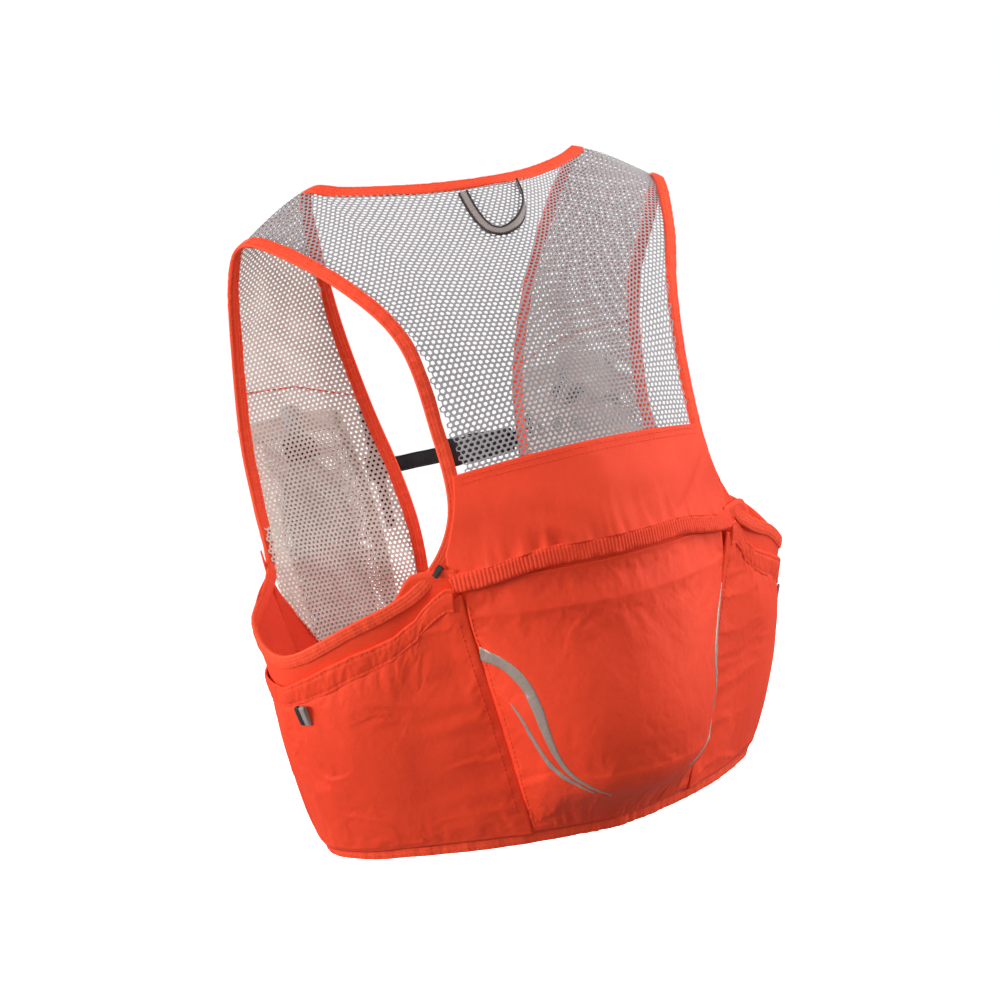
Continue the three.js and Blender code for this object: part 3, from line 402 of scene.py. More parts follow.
# ------------------------------------------------------------------ open mesh fabric with real holes
def hexfab(XY2uv, S, out, x0, x1, y0, y1, pitch, keep, disp, hole=0.6, strand=0.3):
    px, r = pitch, pitch / math.sqrt(3); py = 1.5 * r
    ni, nj = int((x1 - x0) / px) + 2, int((y1 - y0) / py) + 2
    I, J = np.meshgrid(np.arange(ni), np.arange(nj)); I, J = I.ravel(), J.ravel()
    cx = x0 + I * px + (J % 2) * px / 2; cy = y0 + J * py
    u, v = XY2uv(cx, cy); k = keep(u, v, cx, cy); I, J, cx, cy = I[k], J[k], cx[k], cy[k]
    n = len(cx); K = np.arange(6)
    dx = np.array([1, 0, -1, -1, 0, 1]); dy = np.array([1, 2, 1, -1, -2, -1])   # corners in units px/2, r/2
    kx = (2 * I + (J % 2))[:, None] + dx[None]; ky = (3 * J)[:, None] + dy[None]
    key = kx.astype(np.int64) * 100000 + ky; uq, idx, inv = np.unique(key.ravel(), return_index=True, return_inverse=True)
    ox = x0 + kx.ravel()[idx] * px / 2; oy = y0 + ky.ravel()[idx] * r / 2
    inv = inv.reshape(n, 6)
    jit = 0.10 * pitch
    ox = ox + jit * pn(ox * 0.9, oy * 0.9, 3); oy = oy + jit * pn(ox * 0.9, oy * 0.9, 4)
    hs = hole * (1 + 0.06 * pn(cx * 0.5, cy * 0.5, 5))
    ccx = ox[inv].mean(1); ccy = oy[inv].mean(1)
    ix = ccx[:, None] + (ox[inv] - ccx[:, None]) * hs[:, None]; iy = ccy[:, None] + (oy[inv] - ccy[:, None]) * hs[:, None]
    AX = np.concatenate([ox, ix.ravel()]); AY = np.concatenate([oy, iy.ravel()])
    u, v = XY2uv(AX, AY); u = np.clip(u, 0, 1); v = np.clip(v, 0, 1)
    P = S(u, v); Nn = nrm(S, np.clip(u, 2e-3, 1 - 2e-3), np.clip(v, 2e-3, 1 - 2e-3)) * out
    d = disp(u, v, AX, AY); lift = np.concatenate([np.full(len(ox), strand), np.zeros(n * 6)])
    P = P + Nn * (d + lift)[:, None]
    no = len(ox); a = inv; b = np.roll(inv, -1, 1); ii = no + np.arange(n)[:, None] * 6 + K[None]; jj = no + np.arange(n)[:, None] * 6 + np.roll(K, -1)[None]
    F = np.stack([a, b, jj, ii], -1).reshape(-1, 4)
    A, B, C = P[F[:, 0]], P[F[:, 1]], P[F[:, 2]]; g = (np.cross(B - A, C - A) * Nn[F[:, 0]]).sum(-1)
    if (g < 0).mean() > 0.5: F = F[:, ::-1]
    return P, F, np.stack([AX, AY], -1)
vs = np.linspace(0, 1, 201)
sB = np.concatenate([[0], np.cumsum(0.5 * (np.linalg.norm(np.diff(s_back(np.full(201, .5), vs), axis=0), axis=1) + np.linalg.norm(np.diff(s_back(np.full(201, .15), vs), axis=0), axis=1)))])
hwB = np.abs(s_back(np.zeros(201), vs)[:, 0])
def xy_back(X, Y):
    v = np.interp(Y, sB, vs); return 0.5 - X / (2 * np.interp(v, vs, hwB)), v
sF = np.concatenate([[0], np.cumsum(np.linalg.norm(np.diff(s_front(np.full(201, .5), vs), axis=0), axis=1))])
wF = np.linalg.norm(s_front(np.ones(201), vs) - s_front(np.zeros(201), vs), axis=1)
def xy_front(X, Y):
    v = np.interp(Y, sF, vs); return 0.5 + X / np.interp(v, vs, wF), v
OB_U, OB_V = [0, .35, .6, .816, .958, 1.0], [.15, .165, .20, .257, .326, .40]
def vb(u): return np.interp(u, OB_U, OB_V)
def drape(X, Y, u=None):
    return 0.5 * fbm(X / 38, Y / 46, 11, 2)
PITCH = 3.2
P_, F_, U_ = hexfab(xy_back, s_back, 1, -146, 146, 0, sB[-1] + 2, PITCH, lambda u, v, X, Y: (np.abs(X) < np.interp(v, vs, hwB) - 5.6 - 3.6 * (1 - ss(.35, .75, v))) & (Y < sB[-1] - np.where(np.abs(X) < 82, 5.6, .5)),
    lambda u, v, X, Y: 0.6 * fbm(X / 34, Y / 40, 21, 2) * np.clip(4 * np.minimum(u, 1 - u) * 2, 0, 1), 0.60)
piece("back_mesh", [(P_, F_, MESHG, U_)], "pack", ["back_mesh_panel"])
def front_disp(u, v, X, Y):
    e = np.clip(8 * np.minimum(u, 1 - u), 0, 1) * ss(0, .15, v) * (1 - ss(.9, 1, v))
    d = 1.1 * fbm(X / 26, Y / 30, 31, 2)
    for bu, bv, a, ru, rv in ((.55, .60, -2.6, .16, .03), (.45, .48, -2.4, .2, .03), (.74, .376, -2.6, .15, .026), (.22, .344, -2.0, .12, .03), (.62, .69, -1.6, .2, .03)):
        d = d + a * np.exp(-((u - bu) / ru) ** 2 - ((v - bv) / rv) ** 2)
    return d * e
P_, F_, U_ = hexfab(xy_front, s_front, 1, -70, 70, sF[-1] * .12, sF[-1] + 1, PITCH, lambda u, v, X, Y: (np.abs(X) < np.interp(v, vs, wF) / 2 - 5.6) & (v > vb(u) + .003) & (Y < sF[-1] - .5), front_disp, 0.47)
FR = [(P_, F_, MESHI, U_)]
piece("left_front_mesh", FR, "pack", ["left_front_mesh_strap"])
piece("right_front_mesh", mir(FR), "pack", ["right_front_mesh_strap"])
# shell-fabric foot of each front panel
def grid(nu, nv, u0=0.0, u1=1.0, v0=0.0, v1=1.0):
    return np.meshgrid(np.linspace(u0, u1, nu), np.linspace(v0, v1, nv))
def droop(x, w):
    """the free ends of the flap hang a little lower than its middle"""
    d = np.array([0.0, -.34, -.94]); return (8.5 * ss(38, 88, np.abs(x)) * w)[..., None] * d
def clothp(S, out, U, V, D, thick, mat, shift=None):
    P = S(U, V)
    Nn = nrm(S, U, V) * out
    P = P + Nn * np.asarray(D)[..., None]
    if shift is not None: P = P + shift
    Gu = np.gradient(P, axis=1); Gv = np.gradient(P, axis=0); NN = np.cross(Gu, Gv); NN /= np.maximum(np.linalg.norm(NN, axis=-1, keepdims=True), 1e-9)
    if float((NN * Nn).sum(-1).mean()) < 0: NN = -NN; flip = True
    else: flip = False
    VV, F = shell_from(P, NN, thick, flip)
    return (VV, F, mat, arcuv(P)), P, NN
A_, B_ = grid(60, 40)
Uf = .002 + 1.006 * A_; Vf = 0.004 + (vb(A_) + .010 - 0.004) * B_
lp, Pl, Nl = clothp(s_front, 1, Uf, Vf, 1.0 + 0.7 * fbm(A_ * 4, B_ * 3, 41, 3) * np.sin(PI * np.clip(B_, 0, 1)), 1.0, ORANGE)
st = stitches(Pl[-2, 3:-3], Nl[-2, 3:-3], 3.4, 2.4, 0.28); st2 = stitches(Pl[-2, 3:-3] - 1.0 * Nl[-2, 3:-3], -Nl[-2, 3:-3], 3.4, 2.4, 0.28)
LP = [lp, (st[0], st[1], THREAD), (st2[0], st2[1], THREAD)]
piece("left_front_foot", LP, "pack", ["left_front_lower_panel"])
piece("right_front_foot", mir(LP), "pack", ["right_front_lower_panel"])

# ------------------------------------------------------------------ inner shell panels
A_, B_ = grid(90, 60)
v_ = 0.03 + 0.995 * B_; s_ = NB(v_) + 0.006
ip, _, _ = clothp(s_wrap, -1, (2 * A_ - 1) * s_, v_, 0.0 + 0.4 * fbm(A_ * 5, B_ * 4, 51, 2), 0.9, ORANGE)
piece("inner_back_panel", [ip], "pack", ["back_inner_panel"])
A_, B_ = grid(110, 50)
u_ = NB(0.5) + (1.0 - NB(0.5)) * A_; v_ = 0.03 + (0.955 + .05 * (1 - ss(.24, .3, u_))) * B_; u_ = (NB(v_) + 0.001) + (1.004 - NB(v_) - 0.001) * A_
ed = np.sin(PI * np.clip(B_, 0, 1)) * np.clip(A_ * 12, 0, 1)
wr = 0.9 * fbm(A_ * 7, B_ * 4, 52, 2) + 1.5 * np.clip(ridge(A_ * 3.2, B_ * 7, 54) - .55, 0, 1) * ss(.35, .6, A_)
sp_, _, _ = clothp(s_wrap, -1, u_, v_, 0.5 + wr * ed, 1.0, ORANGE)
piece("left_side_shell", [sp_], "pack", ["left_side_panel"])
piece("right_side_shell", mir([sp_]), "pack", ["right_side_panel"])
A_, B_ = grid(90, 40)
yp, _, _ = clothp(s_yoke, 1, 0.012 + 0.976 * A_, 0.0 + 0.998 * B_, 0.2 + 0.3 * fbm(A_ * 5, B_ * 3, 55, 2), 0.9, ORANGE)
piece("yoke_lining", [yp], "pack", ["back_yoke_panel"])

# ------------------------------------------------------------------ flap skin, ruched elastic
A_, B_ = grid(200, 70)
v_ = 0.172 + (0.992 - 0.172) * B_
xd = cr(D_YOKE, v_)[..., 0]
hw = np.minimum(xd - 3.0, 89 + 40 * ss(0.55, .8, v_))
x_ = (1 - 2 * A_) * hw; u_ = 0.5 - 0.5 * x_ / xd
gat = np.exp(-np.clip(v_ - 0.18, 0, 1) / 0.13)
g1 = np.clip(ridge(x_ / 9.5, v_ * 1.2, 61), -1, 1) * 1.15 + 0.7 * pn(x_ / 4.2, v_ * 2.0, 62)
soft = 1.3 * fbm(x_ / 36, v_ * 1.6, 63, 2) + 1.6 * np.exp(-((x_ - 30 - 60 * (v_ - .25)) / 9) ** 2) * np.exp(-((v_ - .34) / .13) ** 2) + 1.2 * np.exp(-((x_ + 22 + 40 * (v_ - .25)) / 7) ** 2) * np.exp(-((v_ - .36) / .12) ** 2) - 1.2 * np.exp(-((x_ + 70 + 70 * (v_ - .6)) / 4.5) ** 2) * ss(.15, .3, v_) * (1 - ss(.75, .95, v_))
off = 1.7 + 0.9 * (1 - ss(.6, .95, v_)) + 1.0 * gat * (1 - ss(.62, .95, v_)) + (g1 * gat * 0.95 + soft * 0.8) * (1 - ss(.85, 1, v_)) * np.clip(12 * np.minimum(A_, 1 - A_), 0, 1)
fp, Pf, Nf = clothp(s_yoke, 1, u_, v_, off + 1.4 * ss(45, 88, np.abs(x_)) * (1 - ss(.2, .5, v_)), 0.9, ORANGE, shift=droop(x_, 1 - ss(.18, .62, v_)))
topst = stitches(Pf[-4, 4:-4], Nf[-4, 4:-4], 3.2, 2.3, 0.26); topst2 = stitches(Pf[-8, 4:-4], Nf[-8, 4:-4], 3.2, 2.3, 0.26)
o = piece("flap_skin", [fp, (topst[0], topst[1], THREAD), (topst2[0], topst2[1], THREAD)], None, ["pocket_flap"], blend=("pack", "flap", (0, .155, .204), (0, .157, .186)))
A_, B_ = grid(760, 26)
v_ = -0.0 + 0.2 * B_; xd = cr(D_YOKE, v_)[..., 0]
x_ = (1 - 2 * A_) * (88.5 + 1.0 * pn(B_ * 3, A_ * 0, 65)); u_ = 0.5 - 0.5 * x_ / xd
ph = x_ / 0.95 + 0.9 * pn(x_ / 17, x_ * 0, 66)
rib = np.abs(np.sin(ph * PI / 2 + 0.35 * pn(x_ / 6, B_ * 1.4, 67)))
prof = (1 - np.abs(2 * B_ - 1) ** 8) ** .5 if False else np.clip(1 - np.abs(2 * B_ - 1) ** 6, 0, 1) ** .6
lines = np.exp(-((B_ - .88) / 0.04) ** 2)
flare = 1.1 * (1 - ss(0, .28, B_)) * pn(x_ / 5.0, B_ * 0.5, 68) + 0.7 * ss(.8, 1, B_) * pn(x_ / 4.4, B_ * .5, 69)
ep, Pe, Ne = clothp(s_yoke, 1, u_, v_, 2.0 + 2.1 * prof + (0.5 * rib - .4 * lines) * np.clip(prof, .25, 1) + flare + 1.6 * ss(45, 88, np.abs(x_)), 1.3, RUCHE, shift=droop(x_, 1.0 + 0 * v_))
est = [stitches(Pe[k, 6:-6] - 0.0 * Ne[k, 6:-6], Ne[k, 6:-6], 2.5, 1.7, 0.22) for k in (22,)]
piece("flap_ruched_elastic", [ep] + [(a, b, THREAD) for a, b in est], "flap", ["pocket_flap_elastic"])

# ------------------------------------------------------------------ fabric pockets: cloth solved, then thickened
def solve(jobs, frames=22):
    """jobs: list of (P grid, N grid, pinmask, pressure, grow, cap_mm). Returns solved grids."""
    obs = []
    for k, (P, Nn, pin, pres, grow, cap) in enumerate(jobs):
        ny, nx = P.shape[:2]; me = bpy.data.meshes.new("c"); V = (P.reshape(-1, 3) / 1000)
        me.from_pydata([tuple(x) for x in V], [], [tuple(int(i) for i in f) for f in gridF(nx, ny)]); me.update()
        o = bpy.data.objects.new("c%d" % k, me); bpy.context.scene.collection.objects.link(o)
        vg = o.vertex_groups.new(name="pin"); vg.add([int(i) for i in np.nonzero(pin.ravel())[0]], 1.0, "REPLACE")
        m = o.modifiers.new("cloth", "CLOTH"); c = m.settings; c.quality = 6; c.mass = 0.12; c.tension_stiffness = 30; c.compression_stiffness = 20; c.shear_stiffness = 8; c.bending_stiffness = 0.12
        c.tension_damping = 8; c.compression_damping = 8; c.shear_damping = 6; c.bending_damping = 1.0; c.air_damping = 4
        c.vertex_group_mass = "pin"; c.pin_stiffness = 1; c.use_pressure = True; c.uniform_pressure_force = pres; c.shrink_min = -grow; c.shrink_max = -grow; c.effector_weights.gravity = 0
        m.collision_settings.use_collision = False; m.point_cache.frame_start = 1; m.point_cache.frame_end = frames; obs.append(o)
    sc = bpy.context.scene
    for f in range(1, frames + 1): sc.frame_set(f)
    dg = bpy.context.evaluated_depsgraph_get(); out = []
    for o, (P, Nn, pin, pres, grow, cap) in zip(obs, jobs):
        e = o.evaluated_get(dg); me = e.to_mesh(); n = len(me.vertices); co = np.empty(n * 3, np.float32); me.vertices.foreach_get("co", co); Q = co.reshape(P.shape).astype(float) * 1000; e.to_mesh_clear()
        D = Q - P; L = np.linalg.norm(D, axis=-1, keepdims=True); ok = np.isfinite(L) & (L < 60); D = np.where(ok, D, 0); L = np.where(ok, L, 0)
        D = D * (cap * np.tanh(L / cap) / np.maximum(L, 1e-6)); out.append(P + D)
    sc.frame_set(1)
    for o in obs: bpy.data.objects.remove(o, do_unlink=True)
    return out
def gridn(P):
    Gu = np.gradient(P, axis=1); Gv = np.gradient(P, axis=0); NN = np.cross(Gu, Gv); return NN / np.maximum(np.linalg.norm(NN, axis=-1, keepdims=True), 1e-9)
def refine(P, k):
    """bicubic-ish upsampling of a grid"""
    def up(A, axis):
        A = np.moveaxis(A, axis, 0); n = len(A); t = np.linspace(0, 1, (n - 1) * k + 1); R = cr(A.reshape(n, -1), t).reshape((len(t),) + A.shape[1:]); return np.moveaxis(R, 0, axis)
    return up(up(P, 0), 1)
def bilin(P, a, b):
    ny, nx = P.shape[:2]; x = np.clip(a, 0, 1) * (nx - 1); y = np.clip(b, 0, 1) * (ny - 1); i = np.minimum(x.astype(int), nx - 2); j = np.minimum(y.astype(int), ny - 2); fx, fy = (x - i)[..., None], (y - j)[..., None]
    return (P[j, i] * (1 - fx) + P[j, i + 1] * fx) * (1 - fy) + (P[j + 1, i] * (1 - fx) + P[j + 1, i + 1] * fx) * fy
BV0, BV1 = 0.052, 0.992
nx, ny = 110, 84
A_, B_ = grid(nx, ny)
v_ = BV0 + (BV1 - BV0) * B_; s_ = NB(v_) + 0.0035; t_ = 2 * A_ - 1
base = PK(t_, v_) + 0.9
low = 2.4 + 0.5 * pn(t_ * 14, v_ * 0, 71)
base = base * (1 - ss(.87, .99, v_)) + 0.8 * ss(.87, .99, v_)
gath = np.exp(-np.clip(v_ - .05, 0, 1) / .10)
base = base + gath * (1.3 * ridge(t_ * 9 + 1.2 * pn(t_ * 3, v_ * 3, 73), v_ * 1.1, 72) * (1 - np.abs(t_) ** 4)) * ss(.05, .075, v_)
base = base + 0.9 * np.exp(-np.clip(.95 - v_, 0, 1) / .07) * pn(t_ * 11, v_ * 2, 74) * (1 - ss(.93, .99, v_))
base = base + 1.0 * fbm(t_ * 1.6, v_ * 2.0, 75, 2) * (1 - np.abs(t_) ** 3) * ss(.06, .3, v_) * (1 - ss(.8, .97, v_))
# radiating pulls from the side seams
base = base - 2.0 * ss(.955, .995, np.abs(t_))
base = base - 0.6 * np.clip(ridge(v_ * 6 + t_ * 1.5, t_ * 1.2, 76) - .45, 0, 1) * ss(.45, .9, np.abs(t_)) * (1 - ss(.92, 1, np.abs(t_)))
Pb = s_wrap(t_ * s_, v_); Nb = -nrm(s_wrap, t_ * s_, v_); Pb = Pb + Nb * base[..., None]
pinb = np.zeros((ny, nx), bool); pinb[:2] = True; pinb[-2:] = True; pinb[:, :2] = True; pinb[:, -2:] = True
def side_grid(nx, ny):
    A_, B_ = grid(nx, ny); v0, v1 = 0.045, 0.0
    u0 = NB(0.05 + 0.7 * B_) - 0.0006; ue = 0.945
    # u runs from the seam to the end of the band, v from under the hem band to under the top band
    u = u0 + (ue - u0) * A_
    def bbv(u): return np.where(u < U0s, BB[0] + (U0s - u) * 1.2, lut(BB, (u - U0s) / (U1s - U0s)))
    vt = bbv(u) + 0.012; v = 0.045 + (vt - 0.045) * B_
    u = NB(v) - 0.0006 + (ue - NB(v) + 0.0006) * A_
    return A_, B_, u, v
U0s, U1s = 0.222, 0.93
BT = [.985, .892, .874, .88, .886, .885, .878, .865, .85, .828, .80, .78, .76]; BB = [.90, .815, .787, .783, .782, .772, .768, .765, .745, .725, .70, .685, .67]
snx, sny = 120, 64
A2, B2, u2, v2 = side_grid(snx, sny)
bul = np.sin(PI * np.clip(A2, 0, 1)) ** .7 * np.sin(PI * np.clip(B2, 0, 1)) ** .7
def side_off(sd):
    w = np.exp(-A2 / .13); w2 = np.exp(-(1 - A2) / .16)
    o = 2.6 + 5.2 * bul + 1.5 * (1 - ss(0, .06, A2))
    o = o + 0.9 * w * ridge(v2 * 8.5 + .5 * pn(A2 * 5, v2 * 2, sd + 2), A2 * 1.4, sd) * ss(0, .035, A2) * (1 - ss(.9, 1, B2))
    o = o + 0.7 * fbm(A2 * 3.5, v2 * 2.4, sd + 3, 2) * bul
    o = o + 0.7 * (np.clip(ridge(A2 * 3.4 - v2 * 2.2, v2 * 2.4 + A2 * 1.2, sd + 5) - .35, 0, 1)) * bul
    o = o + 0.5 * np.exp(-B2 / .12) * pn(A2 * 26, v2 * 2, sd + 6) * ss(0, .06, B2) + .5 * np.exp(-(1 - B2) / .1) * pn(A2 * 22, v2 * 2, sd + 7)
    o = o + 2.0 * (1 - ss(0, .3, (u2 - U0s) / (U1s - U0s))) * ss(.75, 1, B2) * ss(0, .04, A2)
    return o
Ps, Ns = [], []
for sd in (81, 181):
    P0 = s_wrap(u2, v2); n0 = -nrm(s_wrap, u2, v2); Ps.append(P0 + n0 * side_off(sd)[..., None]); Ns.append(n0)
pins = np.zeros((sny, snx), bool); pins[:2] = True; pins[-2:] = True; pins[:, :2] = True; pins[:, -2:] = True
sol = solve([(Pb, Nb, pinb, 0.4, 0.006, 2.0), (Ps[0], Ns[0], pins, 0.3, 0.006, 1.6), (Ps[1], Ns[1], pins, 0.3, 0.006, 1.6)])
def cloth_from(P, ref_n, thick, mat, k=2):
    R = refine(P, k); NN = gridn(R); rn = refine(ref_n, k)
    flip = float((NN * rn).sum(-1).mean()) < 0
    if flip: NN = -NN
    VV, F = shell_from(R, NN, thick, flip); return (VV, F, mat, arcuv(R)), R, NN
bp_, Rb, RNb = cloth_from(sol[0], Nb, 1.0, ORANGE)
def seam_rows(R, NN, rows, cols, step=3.2, ln=2.3, rad=.26):
    ps = []
    for r in rows: q = stitches(R[r, 8:-8], NN[r, 8:-8], step, ln, rad); ps.append((q[0], q[1], THREAD))
    for c in cols: q = stitches(R[12:-12, c], NN[12:-12, c], step, ln, rad); ps.append((q[0], q[1], THREAD))
    return ps
piece("back_pocket", [bp_] + seam_rows(Rb, RNb, [], [5, -6]), "pack", ["back_pocket_panel"])
# reflective strips follow the finished pocket
def tape(path, n=110, m=9, lift_=0.28):
    """path rows are (across -1..1, up 0..1, half width)"""
    q = cr(np.array(path, float), np.linspace(0, 1, n)); w = np.linspace(-1, 1, m); half = np.maximum(q[:, 2], .0015)
    d = np.gradient(q[:, :2], axis=0) * [120.0, 190.0]; d /= np.linalg.norm(d, axis=1, keepdims=True); nn = np.stack([-d[:, 1] / 120, d[:, 0] / 190], -1) * 120
    t = q[:, :1] + (half * nn[:, 0])[:, None] * w[None]; v = q[:, 1:2] + (half * nn[:, 1])[:, None] * w[None]
    a = np.clip((t + 1) / 2, 0.004, .996); b = np.clip((v - BV0) / (BV1 - BV0), 0, 1)
    P = bilin(Rb, a, b); NN = bilin(RNb, a, b); NN /= np.linalg.norm(NN, axis=-1, keepdims=True)
    ed = 1 - np.abs(w) ** 8
    P = P + NN * (0.12 + lift_ * ed)[None, :, None]
    G = gridn(P); fl = float((G * NN).sum(-1).mean()) < 0
    VV, F = shell_from(P, NN, 0.3, fl); return (VV, F, REFL, arcuv(P))
STRIPS = {
    "left_outer": [(.972, .742, .045), (.87, .724, .036), (.79, .688, .036), (.735, .637, .035), (.706, .57, .034), (.69, .495, .028), (.655, .413, .02), (.585, .345, .014), (.45, .294, .009), (.27, .235, .003)],
    "left_inner": [(.865, .578, .003), (.829, .533, .012), (.789, .463, .018), (.74, .399, .019), (.668, .347, .016), (.56, .306, .011), (.41, .262, .003)],
    "right_outer": [(-.93, .79, .004), (-.90, .735, .040), (-.83, .685, .040), (-.765, .65, .030), (-.72, .615, .024), (-.70, .57, .022), (-.70, .515, .020), (-.71, .45, .020), (-.69, .395, .018), (-.62, .345, .014), (-.50, .302, .010), (-.36, .272, .003)],
    "right_inner": [(-.83, .60, .003), (-.815, .55, .016), (-.79, .49, .016), (-.79, .43, .018), (-.765, .38, .015), (-.69, .335, .011), (-.58, .31, .003)],
}
for nm, pth in STRIPS.items():
    piece(nm + "_reflective", [tape(pth)], "pack", [nm + "_reflective_strip"])
for i, (sd, mf) in enumerate((("left", lambda x: x), ("right", mir))):
    c, R, NN = cloth_from(sol[1 + i], Ns[i], 1.0, ORANGE)
    piece(sd + "_side_pocket", mf([c] + seam_rows(R, NN, [], [4])), "pack", [sd + "_side_pocket_panel"])
    A_, B_ = grid(240, 22)
    u_ = U0s - 0.012 + (U1s + 0.012 - U0s) * A_; k_ = (u_ - U0s) / (U1s - U0s)
    v_ = lut(BB, k_) + (lut(BT, k_) - lut(BB, k_)) * B_ + 0.006 * pn(A_ * 9, B_ * 0, 91 + i)
    pr = np.clip(1 - np.abs(2 * B_ - 1) ** 8, 0, 1) ** .5
    ln = sum(np.exp(-((B_ - c) / 0.05) ** 2) for c in (.16, .84))
    off = 2.0 + 2.5 * (1 - ss(0, .3, k_)) + 1.0 * pr - .45 * ln + (1 - ss(0, .25, B_)) * .4 + 1.0 * pn(A_ * 13, B_ * .8, 93 + i) * np.sin(PI * np.clip(A_, 0, 1)) + .35 * ridge(A_ * 34, B_ * 1.3, 95 + i) * pr
    off = off * ss(-.02, .02, 1 - A_) + 0
    bb_, Rr, Rn = clothp(s_wrap, -1, u_, v_, off, 1.3, ORANGE)
    ex = [stitches(Rr[r, 4:-4], Rn[r, 4:-4], 3.2, 2.3, .27) for r in (3, 18)]
    piece(sd + "_side_pocket_hem", mf([bb_] + [(a, b, THREAD) for a, b in ex]), "pack", [sd + "_side_pocket_band"])

# ------------------------------------------------------------------ elastic bindings
def bprof(wid, thk, lo=0.0, nf=15):
    """closed section with rounded edges and two stitched grooves each side; returns (m,2) and face-side markers"""
    x = np.linspace(0, 1, nf); pts = []
    edge = np.clip(1 - np.abs(2 * x - 1) ** 7, 0, 1) ** .5
    gr = sum(np.exp(-((x - c) / .055) ** 2) for c in (.22, .78)) * .13 + np.exp(-((x - .5) / .05) ** 2) * .06
    h = np.maximum(.5 * edge - gr, .12)
    top = np.stack([lo + x * wid, h * thk], -1); bot = np.stack([lo + x[::-1] * wid, -h[::-1] * thk], -1)
    return np.concatenate([top, bot]), x
def binding(P, W, wid, thk, closed, seed, step=1.15, lo=0.0, wav=.35, puck=.22, extra_n=None, mat=None, sh=0.0):
    mat = mat or BIND
    R, L, (WW,) = resample(P, step=step, closed=closed, extra=[W]); n = len(R)
    s = np.linspace(0, L, n, endpoint=not closed)
    prof, x = bprof(wid, thk, lo); m = len(prof)
    a = 2 * PI * s / L if closed else None
    if closed:
        rr = L / (2 * PI)
        def q(f, sd): return pn(np.cos(a) * rr * f, np.sin(a) * rr * f, sd)
    else:
        def q(f, sd): return pn(s * f, s * 0, sd)
    w1 = wav * q(.06, seed); w2 = .5 * wav * q(.16, seed + 1)
    th = 1 + puck * q(.22, seed + 2) + .5 * puck * q(.55, seed + 3)
    pr = np.broadcast_to(prof, (n, m, 2)).copy()
    pr[..., 0] += (w1 + w2)[:, None] * ((prof[:, 0] - lo) / wid)[None]
    # small puckers between the stitch lines
    mid = np.exp(-((((prof[:, 0] - lo) / wid) - .5) / .16) ** 2)
    pk = .22 * q(.33, seed + 4)
    pr[..., 1] = pr[..., 1] * th[:, None] + (pk[:, None] * mid[None] * np.sign(prof[:, 1])[None]) + sh
    if extra_n is not None:
        pr[..., 1] += extra_n(s, L)[:, None]
    V, F, T, Wd, Nn = sweep(R, WW, pr, closed)
    sec = np.concatenate([[0], np.cumsum(np.linalg.norm(np.diff(prof, axis=0), axis=1))])
    uv = np.stack([np.broadcast_to(sec[None], (n, m)), np.broadcast_to(s[:, None], (n, m))], -1).reshape(-1, 2)
    if len(V) > n * m: uv = np.concatenate([uv, np.zeros((len(V) - n * m, 2))])
    Vg = V[:n * m].reshape(n, m, 3); out = [(V, F, mat, uv)]
    nf = m // 2
    for side in (0, 1):
        for f in (.22, .78):
            j = int(round(f * (nf - 1))) if side == 0 else nf + int(round((1 - f) * (nf - 1)))
            line = Vg[:, j]; nn = Nn * (1 if side == 0 else -1)
            if closed: line = np.vstack([line, line[:1]]); nn = np.vstack([nn, nn[:1]])
            q_ = stitches(line, nn, 3.0, 2.2, .25); out.append((q_[0], q_[1], THREAD))
    return out, R, Wd, Nn
ARM = [[142, 21, 362], [130, 49, 353], [108, 87, 324], [91, 108, 291], [85, 116, 244], [86, 122, 193], [107, 109, 158], [143, 82, 140], [170, 43, 127], [172, 8, 146], [149, -17, 172], [142, -41, 207], [142, -43, 248], [142, -29, 300], [146, 2, 343]]
ARMW = [[-0.87, -0.11, 0.47], [-0.85, 0.1, 0.5], [-0.9, 0.3, 0.3], [-0.95, 0.3, 0.08], [-0.95, 0.3, 0], [-0.93, 0.36, -0.05], [-0.6, 0.2, -0.75], [-0.15, -0.3, -0.94], [-0.15, -0.33, -0.93], [-0.2, -0.2, -0.95], [-0.6, -0.2, -0.75], [-0.98, -0.15, -0.1], [-0.99, -0.1, 0], [-0.98, -0.15, 0.1], [-0.9, -0.15, 0.4]]
tt = np.linspace(0, 1, 601)[:-1]
AP, AW = crl(ARM, tt), crl(ARMW, tt)
for sd, mf, seed in (("left", lambda x: x, 101), ("right", mir, 151)):
    b_, Ra, Wa, Na = binding(AP, AW, 8, 3, True, seed)
    piece(sd + "_armhole_edge", mf(b_), "pack", [sd + "_armhole_binding"])
nP, nW = [], []
for v in np.linspace(0.022, 1, 9):
    a = s_front(0.0, v); su = (s_front(0.002, v) - s_front(0.0, v)); nP.append(a); nW.append(su / np.linalg.norm(su))
for i in range(1, 9):
    x = 88 * (1 - i / 8); u = 0.5 - x / 284; a = s_back(u, 1.0); q = s_back(u, 0.9) - a; q /= np.linalg.norm(q); nP.append(a); nW.append(np.array([.35, .45, -.82]) if i < 2 else q)
nP, nW = np.array(nP), np.array(nW)
fullm = lambda P: np.vstack([P, P[:-1][::-1] * [-1, 1, 1]])
NPf, NWf = cr(fullm(nP), np.linspace(0, 1, 900)), cr(fullm(nW), np.linspace(0, 1, 900))
def smooth1(A, k):
    w = np.exp(-.5 * (np.arange(-3 * k, 3 * k + 1) / k) ** 2); w /= w.sum(); Q = np.vstack([np.repeat(A[:1], 3 * k, 0), A, np.repeat(A[-1:], 3 * k, 0)])
    return np.stack([np.convolve(Q[:, c], w, 'valid') for c in range(3)], -1)
